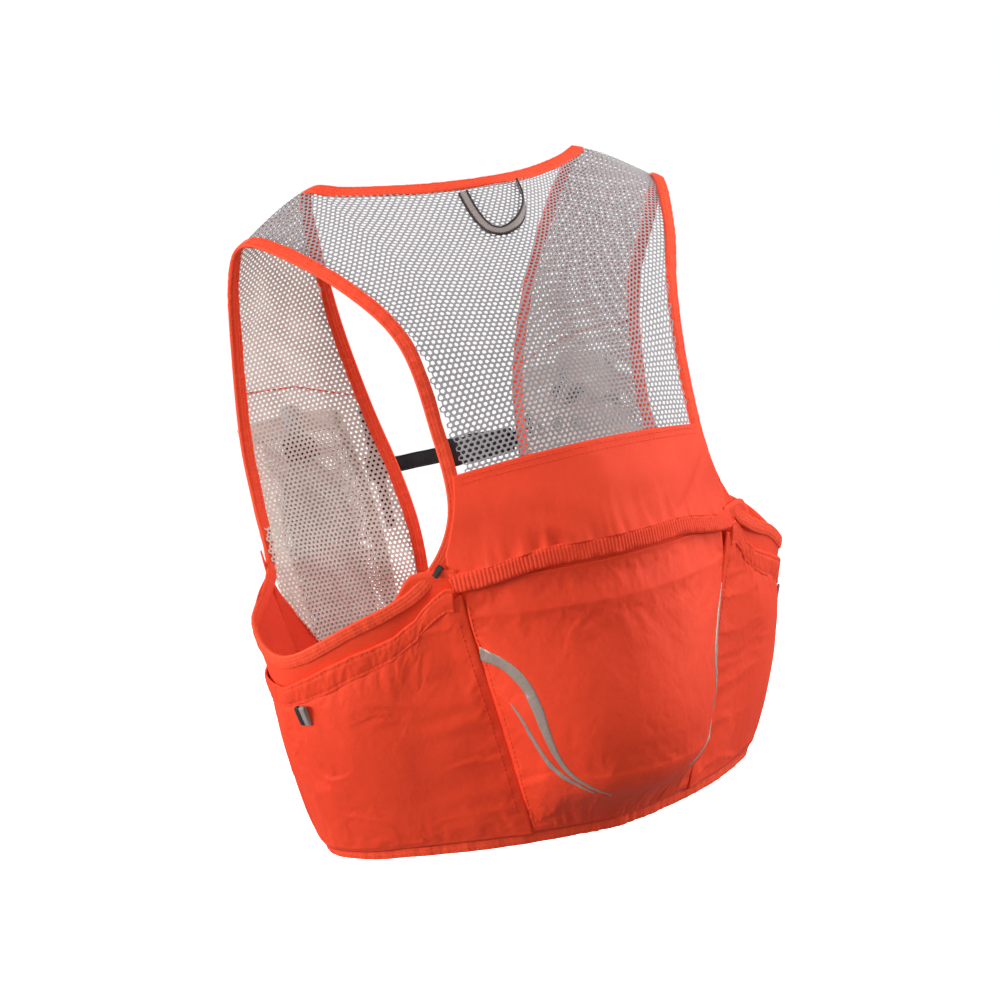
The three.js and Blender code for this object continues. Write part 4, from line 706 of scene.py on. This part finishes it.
NPf, _, (NWf,) = resample(NPf, step=1.0, extra=[NWf]); e0, e1 = NPf[:1].copy(), NPf[-1:].copy(); NPs = smooth1(NPf, 6); wq = ss(0, 20, np.minimum(np.arange(len(NPf)), np.arange(len(NPf))[::-1]))[:, None]; NPf = NPf * (1 - wq) + NPs * wq; NWf = smooth1(NWf, 10)
b_, Rn_, Wn_, Nn_ = binding(NPf, NWf, 8, 3, False, 201, wav=.3)
piece("neck_and_front_edge", b_, "pack", ["neck_and_front_edge_binding"])
hP, hW = [], []
for i in range(5):
    u = i / 4 * .97; a = s_front(u, 0.0); b = s_front(u, .06) - a; hP.append(a); hW.append(b / np.linalg.norm(b))
for i in range(1, 12):
    u = 1 - i / 11; a = s_wrap(u, 0.0); b = s_wrap(u, .06) - a; hP.append(a); hW.append(b / np.linalg.norm(b))
hP, hW = np.array(hP), np.array(hW)
HPf, HWf = cr(fullm(hP), np.linspace(0, 1, 900)), cr(fullm(hW), np.linspace(0, 1, 900))
def hemgather(s, L):
    c = np.exp(-((s - L / 2) / 62.0) ** 4); return (0.85 * ridge(s / 7.5 + .8 * pn(s / 19, s * 0, 213), s * 0, 211) + .4 * pn(s / 3.6, s * 0, 212)) * c * 0.55 + 0.3 * pn(s / 15, s * 0, 214)
b_, Rh, Wh, Nh = binding(HPf, HWf, 9, 3, False, 221, wav=.7, puck=.3, extra_n=hemgather)
piece("hem_edge", b_, "pack", ["hem_band"])

# ------------------------------------------------------------------ hanging loop and tabs
def ribbon(P, W, wid, thk, cuts, mats, closed=False, step=.6, rib=0.0):
    """flat ribbon; cuts: widths across (0..1) where the material changes"""
    R, L, (WW,) = resample(P, step=step, closed=closed, extra=[W]); n = len(R)
    ed = [0.0] + list(cuts) + [1.0]; xs = np.unique(np.concatenate([np.linspace(a, b, 5) for a, b in zip(ed[:-1], ed[1:])]))
    h = .5 * thk * np.clip(1 - np.abs(2 * xs - 1) ** 10, 0, 1) ** .5 + .12 * thk
    for c in cuts: h = h - .22 * thk * np.exp(-((xs - c) / .03) ** 2)
    prof = np.concatenate([np.stack([(xs - .5) * wid, h], -1), np.stack([(xs[::-1] - .5) * wid, -h[::-1]], -1)]); m = len(prof)
    V, F, T, Wd, Nn = sweep(R, WW, prof, closed)
    s = np.linspace(0, L, n); uv = np.stack([np.broadcast_to(prof[None, :, 0], (n, m)), np.broadcast_to(s[:, None], (n, m))], -1).reshape(-1, 2)
    uv = np.concatenate([uv, np.zeros((len(V) - n * m, 2))])
    cx = (prof[:, 0] / wid + .5)[F[:, 0] % m] if True else None
    cxa = ((prof[:, 0] / wid + .5)[F[:, 0] % m] + (prof[:, 0] / wid + .5)[F[:, 1] % m]) / 2
    band = np.searchsorted(np.array(cuts), cxa); out = []
    for k in range(len(cuts) + 1):
        f = F[band == k]
        if len(f): out.append((V, f, mats[k], uv))
    # keep one vertex set per band so that no vertex is loose
    clean = []
    for v, f, m_, u_ in out:
        q = np.unique(f); mp = np.full(len(v), -1); mp[q] = np.arange(len(q)); clean.append((v[q], mp[f], m_, u_[q]))
    return clean, R, Wd, Nn
LOOP = np.array([[18.8, 72.6, 371.6], [19.2, 74.5, 369.3], [20.4, 84.4, 360.2], [20.0, 93.4, 351.8], [17.2, 99.4, 346.6], [10.6, 102.2, 345.0], [1.0, 101.0, 348.6], [-7.8, 93.6, 355.6], [-13.3, 84.2, 363.6], [-15.5, 77.0, 369.6], [-16.2, 73.6, 372.2]])
LOOP[:, 1] += 1.2
tl = np.linspace(0, 1, 160); LPp = cr(LOOP, tl)
cen = np.array([2.5, 87, 360.0]); LPw = cen - LPp; bn = nrm(s_back, np.full(160, .5), np.interp(LPp[:, 2], [345, 375], [.78, .97]))
# the ribbon lies nearly flat at the left and turns on edge at the right limb
tw = ss(.45, .8, tl)[:, None]; LPw = LPw / np.linalg.norm(LPw, axis=1, keepdims=True); LPw = LPw * (1 - .72 * tw) + bn * (.25 + .55 * tw)
rb, R, Wd, Nn = ribbon(LPp, LPw, 6.2, 0.9, [.2, .8], [DARK, TAUPE, DARK])
ls = []
for f in (.2, .8):
    q = stitches(R + Wd * (f - .5) * 6.2 + Nn * .45, Nn, 1.6, 1.1, .14); ls.append((q[0], q[1], THREADG))
piece("hanging_loop", rb + ls, "hanger", ["hanger_loop"])
def frame_at(S, u, v, d, out):
    e = 1e-3; a = S(u + e, v) - S(u - e, v); b = S(u, v + e) - S(u, v - e); n = np.cross(a, b); n = n / np.linalg.norm(n) * out
    up = b / np.linalg.norm(b); up = up - n * (up @ n); up /= np.linalg.norm(up); rt = np.cross(up, n)
    return S(u, v) + n * d, rt, up, n
def folded_tab(S, u, v, d, out, wid, hgt, stick, mats, lean=0.0):
    """a short ribbon folded over itself: its foot is sewn down and its fold stands off the cloth"""
    c, rt, up, n = frame_at(S, u, v, d, out)
    ty = (rt * math.cos(lean) + up * math.sin(lean)); dn = np.cross(n, ty)
    if dn[2] > 0: dn = -dn
    t = np.linspace(0, 1, 40); ang = PI * t
    # section of the fold, seen along the tab's own width
    z = -(hgt / 2) + (hgt) * np.where(t < .5, t * 2, 2 - 2 * t); s_ = stick * (0.25 + .5 * np.sin(ang) ** .6) * np.where(t < .5, 1.0, -1.0) * (1 - .0 * t)
    P = c + (-dn)[None] * z[:, None] + n[None] * (s_ * .45)[:, None]
    return ribbon(P, np.broadcast_to(ty, P.shape), wid, .9, [.5] if len(mats) == 2 else [.12, .88], mats, step=.5)[0]
for sd, mf in (("left", lambda x: x), ("right", mir)):
    tb = folded_tab(s_wrap, .59, .73, 6.6 if sd == "left" else 4.6, -1, 7.2, 12.0, 3.0 if sd == "left" else .5, [DARK, TAUPE], .14)
    piece(sd + "_side_tab", mf(tb), "pack", [sd + "_side_pull_tab"])
ct = folded_tab(s_yoke, .036, .10, 2.6, 1, 3.4, 7.0, 1.8, [DARK, DARK, DARK])
piece("left_corner_tab", ct, "pack", ["left_pocket_corner_tab"])

# ------------------------------------------------------------------ sternum strap
def rbox(cx, cy, cz, sx, sy, sz, r=.9, seg=4, taper=None, rot=0.0, shape=None):
    """rounded block from a superellipse section swept in X"""
    n = 40; a = np.arange(n) * 2 * PI / n; e = 2.0 / 7
    y = np.sign(np.cos(a)) * np.abs(np.cos(a)) ** e * sy / 2; z = np.sign(np.sin(a)) * np.abs(np.sin(a)) ** e * sz / 2
    xs, sc = [], []
    for k in range(seg + 1):
        q = k / seg * PI / 2; xs.append(-sx / 2 + r - r * math.cos(q)); sc.append(r * (1 - math.sin(q)))
    xs = xs + list(np.linspace(-sx / 2 + r, sx / 2 - r, 12)[1:-1]) + [-x for x in xs[::-1]]; sc = sc + [0] * 10 + sc[::-1]
    V = []
    for x, s in zip(xs, sc):
        ky, kz = (1 - 2 * s / sy), (1 - 2 * s / sz); t = (x + sx / 2) / sx; ty, tz = taper(t) if taper else (1, 1)
        V.append(np.stack([np.full(n, x), y * ky * ty, z * kz * tz], -1))
    V = np.array(V); m = len(V); F = []
    for i in range(m - 1):
        j = np.arange(n); F.append(np.stack([i * n + j, i * n + (j + 1) % n, (i + 1) * n + (j + 1) % n, (i + 1) * n + j], -1))
    Vv = V.reshape(-1, 3); c0, c1 = len(Vv), len(Vv) + 1; Vv = np.vstack([Vv, V[0].mean(0), V[-1].mean(0)]); j = np.arange(n)
    F.append(np.stack([(j + 1) % n, j, np.full(n, c0), np.full(n, c0)], -1)); F.append(np.stack([(m - 1) * n + j, (m - 1) * n + (j + 1) % n, np.full(n, c1), np.full(n, c1)], -1))
    F = np.concatenate(F); A, B, C, D = (Vv[F[:, k]] for k in range(4))
    if ((A * np.cross(B, C)).sum() + (A * np.cross(C, D)).sum()) < 0:
        F = F[:, ::-1]; F = np.where((F[:, 0] == F[:, 1])[:, None], np.stack([F[:, 1], F[:, 2], F[:, 3], F[:, 3]], -1), F)
    if rot:
        c, s = math.cos(rot), math.sin(rot); Vv = np.stack([Vv[:, 0], Vv[:, 1] * c - Vv[:, 2] * s, Vv[:, 1] * s + Vv[:, 2] * c], -1)
    return Vv + [cx, cy, cz], F
SY, SZ = -49.8 - 2.8, 215.0
for sd, mf in (("left", lambda x: x), ("right", mir)):
    zz = np.linspace(-38.5, 38.5, 60); P = np.stack([np.full(60, 54.0), -49.8 - .143 * zz, 215 + zz], -1)
    rl, R, Wd, Nn = ribbon(P, np.broadcast_to([1.0, 0, 0], P.shape), 6.4, 1.3, [.15, .85], [WEB, WEB, WEB])
    bars = []
    for zb in (-36.5, -33.5, 33.5, 36.5):
        q = np.stack([np.linspace(51.2, 56.8, 12), np.full(12, -49.8 - .143 * zb - .85), np.full(12, 215 + zb)], -1); s_ = stitches(q, np.broadcast_to([0, -1.0, -.1], q.shape), 1.1, .9, .16); bars.append((s_[0], s_[1], THREADG))
    piece(sd + "_strap_track", mf(rl + bars), "pack", [sd + "_strap_rail"])
    g = [rbox(54, SY - .3, SZ, 12, 2.2, 16, .8, rot=math.atan(.143)) + (BLACKP,), rbox(49.6, SY - 1.5, SZ, 1.7, 2.0, 13, .6, rot=math.atan(.143)) + (BLACKP,), rbox(58.2, SY - 1.2, SZ, 1.9, 2.2, 13.4, .6, rot=math.atan(.143)) + (BLACKP,),
         rbox(54, SY - 1.4, SZ + 6.9, 9, 1.6, 1.8, .5, rot=math.atan(.143)) + (BLACKP,), rbox(54, SY - 1.4, SZ - 6.9, 9, 1.6, 1.8, .5, rot=math.atan(.143)) + (BLACKP,)]
    piece(sd + "_slider", mf(g), "sternum_strap", [sd + "_strap_slider"])
def webb(x0, x1, seed):
    n = int(abs(x1 - x0) / .5) + 2; x = np.linspace(x0, x1, n); sag = .5 * np.sin(PI * (x - x0) / (x1 - x0)) + .25 * pn(x / 9, x * 0, seed)
    P = np.stack([x, SY + sag * .8, SZ + .3 * pn(x / 14, x * 0, seed + 1) * np.sin(PI * (x - x0) / (x1 - x0))], -1)
    return ribbon(P, np.broadcast_to([0, 0, 1.0], P.shape), 10.0, 1.4, [.1, .9], [WEB, WEB, WEB], step=.5)
wb, R, Wd, Nn = webb(2.8, 48.6, 301)
bar = [stitches(np.stack([np.full(10, 42.5 - k * 1.6), np.full(10, SY - .85), np.linspace(211, 219, 10)], -1), np.broadcast_to([0, -1.0, 0], (10, 3)), 1.0, .8, .17) for k in range(3)]
piece("left_chest_webbing", wb + [(a, b, THREADG) for a, b in bar], "sternum_strap", ["left_sternum_webbing"])
piece("right_chest_webbing", webb(-48.6, -42.4, 303)[0], "sternum_strap", ["right_sternum_webbing"])
# side-release buckle: a flattened sleeve with two side windows, and a plug with a pronged tongue
def sleeve():
    n = 56; a = np.arange(n) * 2 * PI / n; e = 2 / 5.5
    oy, oz = np.sign(np.cos(a)) * np.abs(np.cos(a)) ** e, np.sign(np.sin(a)) * np.abs(np.sin(a)) ** e
    xs = [-21.6, -21.4, -20.8, -19.8, -16, -12, -8, -4, -1, 1.2, 2.1, 2.4]; out = [.92, .96, .99, 1, 1, .985, .985, 1, 1, .99, .95, .9]
    rows = [np.stack([np.full(n, x), oy * 3.4 * s * (1 + .05 * math.sin((x + 12) / 6)), oz * 9.4 * s * (1 - .10 * math.exp(-((x + 9) / 5.5) ** 2))], -1) for x, s in zip(xs, out)]
    ins = [np.stack([np.full(n, x), oy * 1.35, oz * 5.75], -1) for x in xs[::-1]]
    V = np.array(rows + ins); m = len(V); j = np.arange(n); F = []
    for i in range(m): k = (i + 1) % m; F.append(np.stack([i * n + j, i * n + (j + 1) % n, k * n + (j + 1) % n, k * n + j], -1))
    F = np.concatenate(F); Vv = V.reshape(-1, 3); A, B, C, D = (Vv[F[:, k]] for k in range(4))
    if ((A * np.cross(B, C)).sum() + (A * np.cross(C, D)).sum()) < 0: F = F[:, ::-1]
    return Vv + [0, SY, SZ], F
gr = [rbox(-17 + 3.1 * k, SY, SZ + sg * 9.0, 1.4, 5.0, 1.0, .35) + (BLACKP,) for k in range(3) for sg in (1, -1)] + [rbox(-3.2, SY + sy * 3.3, SZ, 5.5, .7, 9.5, .3) + (BLACKP,) for sy in (1, -1)]
piece("buckle_sleeve", [sleeve() + (BLACKP,)] + gr, "buckle", ["buckle_socket"])
pl = [rbox(-32.6, SY, SZ, 20.2, 5.6, 17.6, 1.2, taper=lambda t: (.86 + .14 * math.sin(PI * min(1, t * 1.2)), .90 + .14 * t)) + (BLACKP,),
      rbox(-18.4, SY, SZ, 8.2, 1.6, 9.0, .5, taper=lambda t: (1, 1 - .12 * t)) + (BLACKP,), rbox(-40.2, SY - 3.1, SZ, 1.6, .8, 13, .3) + (BLACKP,), rbox(-36.8, SY - 3.2, SZ, 1.6, .8, 13.5, .3) + (BLACKP,),
      rbox(-30, SY - 2.9, SZ, 7, .7, 9, .3) + (BLACKP,)]
piece("buckle_tongue", pl, "sternum_strap", ["buckle_plug"])

# ------------------------------------------------------------------ flask pouches and soft flasks
FP0 = [0.215, 0.82, 0.235, 0.61]
def FPd(a, b):
    c = np.clip(1 - np.abs(2 * a - 1) ** 4, 0, 1) ** .42; return 2.4 + 36 * c * ss(-.22, .1, b)
def s_pouch(a, b):
    a, b = np.broadcast_arrays(np.asarray(a, float), np.asarray(b, float))
    u = FP0[0] + (FP0[1] - FP0[0]) * a; v = FP0[2] + (FP0[3] - FP0[2]) * b
    return s_front(u, v) + nrm(s_front, u, v) * FPd(np.clip(a, 0, 1), np.minimum(b, 1))[..., None]
def bow(s): return .5 - .5 * np.cos(PI * (0.03 + 0.94 * s))
# the girth of the pouch, so that the knit's pitch stays even round its steep sides
aa = np.linspace(.004, .996, 400); gl = np.array([np.concatenate([[0], np.cumsum(np.linalg.norm(np.diff(s_pouch(aa, np.full(400, b)), axis=0), axis=1))]) for b in np.linspace(0, 1, 9)])
hv = np.linspace(0, 1, 120); hl = np.concatenate([[0], np.cumsum(np.linalg.norm(np.diff(s_pouch(np.full(120, .5), hv), axis=0), axis=1))])
def xy_pouch(X, Y):
    b = np.interp(Y, hl, hv); k = np.clip(b * 8, 0, 7.999); i = k.astype(int); f = k - i
    s = .5 + X / (gl[i, -1] * (1 - f) + gl[i + 1, -1] * f); A0 = np.empty_like(s); A1 = np.empty_like(s)
    for j in range(8):
        q = i == j
        if q.any(): A0[q] = np.interp(s[q], gl[j] / gl[j, -1], aa, left=0, right=1); A1[q] = np.interp(s[q], gl[j + 1] / gl[j + 1, -1], aa, left=0, right=1)
    return A0 * (1 - f) + A1 * f, b
def pouch_disp(a, b, X, Y):
    return (.8 * fbm(X / 17, Y / 24, 401, 2) + 1.0 * np.exp(-b / .1) * ridge(X / 8, Y / 40, 402)) * np.clip(10 * np.minimum(a, 1 - a), 0, 1) * ss(0, .04, b)
P_, F_, U_ = hexfab(xy_pouch, s_pouch, 1, -90, 90, 0.2, hl[-1] - .2, 2.9, lambda u, v, X, Y: (u > .004) & (u < .996), pouch_disp, .5)
PM = [(P_, F_, MESHI, U_)]
def pouch_floor():
    A_, B_ = grid(50, 10); a = bow(A_); top = s_pouch(a, np.zeros_like(a)); u = FP0[0] + (FP0[1] - FP0[0]) * a; base = s_front(u, np.full_like(u, FP0[2])) + nrm(s_front, u, np.full_like(u, FP0[2])) * 1.2
    P = base + (top - base) * B_[..., None]; P[..., 2] -= 1.5 * np.sin(PI * B_) * np.sin(PI * A_)
    G = gridn(P); fl_ = float(G[..., 2].mean()) > 0; NN = -G if fl_ else G
    V, F = shell_from(P, NN, .8, fl_); return (V, F, MESHI, arcuv(P))
PM.append(pouch_floor())
def pouch_side(e):
    A_, B_ = grid(8, 70); ae = .02 if e == 0 else .98; a = ae + 0 * A_; top = s_pouch(a, B_)
    u = FP0[0] + (FP0[1] - FP0[0]) * e + 0 * A_; v = FP0[2] + (FP0[3] - FP0[2]) * B_; base = s_front(u, v) + nrm(s_front, u, v) * 1.0
    outd = base - s_front(.5 * (FP0[0] + FP0[1]) + 0 * A_, v); outd /= np.linalg.norm(outd, axis=-1, keepdims=True)
    P = base + (top - base) * A_[..., None] + outd * (.15 + .25 * np.sin(PI * A_))[..., None]
    G = gridn(P); fl_ = float((G * outd).sum(-1).mean()) < 0; NN = -G if fl_ else G
    V, F = shell_from(P, NN, .8, fl_); return (V, F, MESHI, arcuv(P))
PM += [pouch_side(0), pouch_side(1)]
A_, B_ = grid(160, 14)
bn_, Rp, Np = clothp(s_pouch, 1, bow(A_), .985 + .075 * B_, 1.1 * np.clip(1 - np.abs(2 * B_ - 1) ** 6, 0, 1) ** .5 + .35 * ridge(A_ * 30, B_ * .7, 405) + .3, 1.5, MESHI)
bs = [stitches(Rp[r, 4:-4], Np[r, 4:-4], 2.8, 2.0, .24) for r in (2, 11)]
for sd, mf in (("left", lambda x: x), ("right", mir)):
    piece(sd + "_flask_pouch", mf(PM), "pack", [sd + "_flask_pocket"])
    piece(sd + "_flask_pouch_edge", mf([bn_] + [(a, b, THREAD) for a, b in bs]), "pack", [sd + "_flask_pocket_binding"])
    # the pouch's line of stitching shows on the inner face of the front panel
    u_ = np.linspace(.05, .985, 140); v_ = np.interp(u_, [.05, .1, .5, 1], [.645, .652, .683, .695])
    L0 = s_front(u_, v_); n0 = -nrm(s_front, u_, v_); X_ = (u_ - .5) * np.interp(v_, vs, wF); Y_ = np.interp(v_, vs, sF); dd = front_disp(u_, v_, X_, Y_)
    q = stitches(L0 + n0 * (.35 - dd)[:, None], n0, 4.2, 2.9, .42); q2 = stitches(L0 - n0 * (.75 + dd)[:, None], -n0, 4.2, 2.9, .42)
    piece(sd + "_pouch_seam", mf([(q[0], q[1], THREAD), (q2[0], q2[1], THREAD)]), "pack")
FX0, FY0, FZ0, DZ = 87.0, -57.0, 100.0, -14.0
def lathe(prof, n=64, rx=1.0, ry=1.0, mod=None, k=1):
    prof = np.array(prof, float) + [0, DZ]
    if k > 1: prof = cr(prof, np.linspace(0, 1, (len(prof) - 1) * k + 1)); prof[:, 0] = np.maximum(prof[:, 0], 0)
    a = np.arange(n) * 2 * PI / n; r, z = prof[:, :1], prof[:, 1:]
    R = r * np.ones((1, n)); Z = z * np.ones((1, n))
    if mod: R, Z = mod(R, Z, a[None] * np.ones_like(R))
    h = Z - FZ0; X = FX0 + .065 * h + np.cos(a)[None] * R * rx; Y = FY0 - .07 * h + np.sin(a)[None] * R * ry
    V = np.stack([X, Y, Z], -1); m = len(prof); j = np.arange(n); F = []
    for i in range(m - 1): F.append(np.stack([i * n + j, i * n + (j + 1) % n, (i + 1) * n + (j + 1) % n, (i + 1) * n + j], -1))
    F = np.concatenate(F); Vv = V.reshape(-1, 3); A, B, C, D = (Vv[F[:, q]] for q in range(4))
    if ((A * np.cross(B, C)).sum() + (A * np.cross(C, D)).sum()) < 0: F = F[:, ::-1]
    return Vv, F
def soft(R, Z, a):
    k = np.sin(PI * np.clip((Z - 100) / 126, 0, 1)); w = 1 + .035 * k * np.sin(2 * a + 1 + Z / 30) + .03 * k * pn(np.cos(a) * 1.6 + 3, Z / 24, 411) - .02 * k * np.clip(ridge(Z / 22, np.sin(a) * 1.2, 412) - .4, 0, 1)
    seam = 1 + .05 * np.exp(-((np.abs(np.cos(a)) - 1) / .0035) ** 2) * k; return R * w * seam, Z
fbp = lathe([(0.01, 114), (.35, 114.15), (.62, 115.2), (.82, 118.5), (.93, 124), (.985, 136), (1, 160), (.99, 190), (.98, 208), (.93, 220), (.8, 229), (.62, 235.5), (.5, 238), (.47, 239), (.46, 241.2), (.3, 241.8), (0.01, 241.9)], 96, 20.6, 10.6, soft, 3)
fins = [stitches(np.stack([FX0 + .065 * (z - FZ0) + sx * 20.6 * np.interp(z, [100, 106, 136, 196, 214], [.75, .9, 1, .98, .82]), FY0 - .07 * (z - FZ0) + z * 0, z], -1), np.broadcast_to([float(sx), 0, 0], (60, 3)), 1.4, 1.4, .5) for sx in (1, -1) for z in [np.linspace(105, 213, 60)]]
def knurl(R, Z, a):
    g = ((Z > 230.2) & (Z < 239)).astype(float); return R * (1 + g * .035 * np.sign(np.sin(24 * a)) * np.abs(np.sin(24 * a)) ** .4), Z
cap = lathe([(4, 242.7), (9.6, 242.7), (10.5, 243.2), (10.6, 244), (10.35, 244.4), (10.35, 252.6), (10.6, 253.2), (10.5, 254.4), (9.6, 256.4), (8.2, 257.4), (6.4, 258.2), (4.6, 258.5), (.01, 258.55)], 144, 1, 1, knurl)
val = lathe([(.01, 249.6), (3.0, 249.8), (3.2, 251.0), (3.2, 258.4), (4.4, 259.1), (5.0, 260), (4.9, 262.6), (5.3, 264.5), (6.1, 266.5), (6.4, 269.5), (6.3, 272.5), (5.4, 275.6), (3.6, 277.4), (1.6, 277.9), (.01, 277.6)], 48, 1, 1, lambda R, Z, a: (R * (1 - .16 * ss(252, 263, Z) * np.sin(a) ** 2), Z), 2)
for sd, mf in (("left", lambda x: x), ("right", mir)):
    piece(sd + "_soft_flask", mf([fbp + (FLASKM,)] + [(a, b, FLASKM) for a, b in fins]), sd + "_flask", [sd + "_flask_body"])
    piece(sd + "_flask_screw_cap", mf([cap + (CAPM,)]), sd + "_cap", [sd + "_flask_cap"])
    piece(sd + "_flask_valve", mf([val + (SIL,)]), sd + "_valve", [sd + "_flask_bite_valve"])

# ------------------------------------------------------------------ reservoir
A_, B_ = grid(90, 70); T_ = .86 * .82
def pillow(s):
    a, b = A_, B_; v = .13 + .67 * b; u = (2 * a - 1) * NB(v) * T_
    h = np.clip(1 - np.abs(2 * a - 1) ** 2.6, 0, 1) ** .7 * np.clip(1 - np.abs(2 * b - 1) ** 4, 0, 1) ** .6
    o = 2.2 + .60 * (PK((2 * a - 1) * T_, v) - 2.2) * h + (.9 * fbm(a * 5, b * 5, 421, 2)) * h - 1.2 * h * np.clip(ridge(a * 5, b * 3, 422) - .5, 0, 1)
    i_ = 1.4 + 0 * a
    return u, v, (o if s else i_)
parts_ = []
u, v, o1 = pillow(1); P1 = s_wrap(u, v) - nrm(s_wrap, u, v) * o1[..., None] if False else s_wrap(u, v) + (-nrm(s_wrap, u, v)) * o1[..., None]
u, v, o0 = pillow(0); P0 = s_wrap(u, v) + (-nrm(s_wrap, u, v)) * o0[..., None]
ny_, nx_ = P1.shape[:2]; Vr = np.concatenate([P1.reshape(-1, 3), P0.reshape(-1, 3)]); flg = float((gridn(P1)[..., 1]).mean()) < 0
Fr = [gridF(nx_, ny_, 0, flg), gridF(nx_, ny_, nx_ * ny_, not flg)]
for idx, fl_ in ((np.arange(nx_), True), (np.arange(ny_) * nx_ + nx_ - 1, True), (np.arange(nx_) + (ny_ - 1) * nx_, False), (np.arange(ny_) * nx_, False)):
    f = np.stack([idx[:-1], idx[1:], idx[1:] + nx_ * ny_, idx[:-1] + nx_ * ny_], -1); Fr.append(f[:, ::-1] if (fl_ != flg) else f)
piece("reservoir_bag", [(Vr, np.concatenate(Fr), BLADM)], "pack", ["reservoir_bladder"])
A_, B_ = grid(120, 16); v_ = .806 + .039 * B_; u_ = (2 * A_ - 1) * NB(v_) * .86 * .8
cl_, _, _ = clothp(s_wrap, -1, u_, v_, 3.2 + .35 * np.cos(B_ * PI * 4) * 1.0 - .4 * np.abs(2 * B_ - 1) ** 6, 1.5, BLACKP)
piece("reservoir_closure", [cl_], "pack", ["reservoir_slide_closure"])

# ------------------------------------------------------------------ stage
bpy.ops.mesh.primitive_plane_add(size=7, location=(0, 0, -0.16))
fl = bpy.context.object; fl.name = "floor"; fm, fnt, fb = base_mat("floor_paint", 0.9, 0.1); fb.inputs["Base Color"].default_value = (0.9, 0.9, 0.9, 1)
fb.inputs["Emission Color"].default_value = (1, 1, 1, 1); fb.inputs["Emission Strength"].default_value = 1.0; fl.data.materials.append(fm); fl.visible_diffuse = False; fl.visible_glossy = False
bpy.ops.mesh.primitive_uv_sphere_add(segments=48, ring_count=24, radius=6.5, location=(0, 0, 0))
dm = bpy.context.object; dm.name = "backdrop"; mm = bpy.data.materials.new("backdrop_paint"); mm.use_nodes = True; mm.node_tree.nodes.clear()
em = mm.node_tree.nodes.new("ShaderNodeEmission"); em.inputs[0].default_value = (1, 1, 1, 1); em.inputs[1].default_value = 1.02; mo = mm.node_tree.nodes.new("ShaderNodeOutputMaterial"); mm.node_tree.links.new(em.outputs[0], mo.inputs[0]); dm.data.materials.append(mm)
dm.visible_diffuse = False; dm.visible_glossy = False; dm.visible_shadow = False; dm.visible_volume_scatter = False
bpy.context.scene.view_settings.view_transform = "Standard"
w = bpy.data.worlds.new("w"); bpy.context.scene.world = w; w.use_nodes = True; w.node_tree.nodes["Background"].inputs[0].default_value = (1, 0.99, 0.985, 1); w.node_tree.nodes["Background"].inputs[1].default_value = 0.30
def area(name, loc, tgt, size, power, col=(1, 1, 1)):
    L = bpy.data.lights.new(name, "AREA"); L.shape = "DISK"; L.size = size; L.energy = power; L.color = col
    o = bpy.data.objects.new(name, L); bpy.context.scene.collection.objects.link(o); o.location = loc
    d = Vector(tgt) - Vector(loc); o.rotation_euler = d.to_track_quat("-Z", "Y").to_euler(); return o
lights = [area("key", (-1.15, 0.75, 1.25), (0, 0.05, 0.2), 0.7, 12), area("left", (1.7, -0.15, 0.5), (0, 0.0, 0.15), 0.7, 26), area("right", (-1.6, 0.6, 0.3), (0, 0.0, 0.15), 0.7, 15), area("top", (0.1, 0.35, 1.7), (0, 0, 0.25), 0.8, 6), area("front", (-0.3, -1.5, 0.9), (0, 0, 0.2), 1.0, 11), area("fill", (0.8, 1.5, 0.8), (0, -0.05, 0.3), 1.0, 6)]
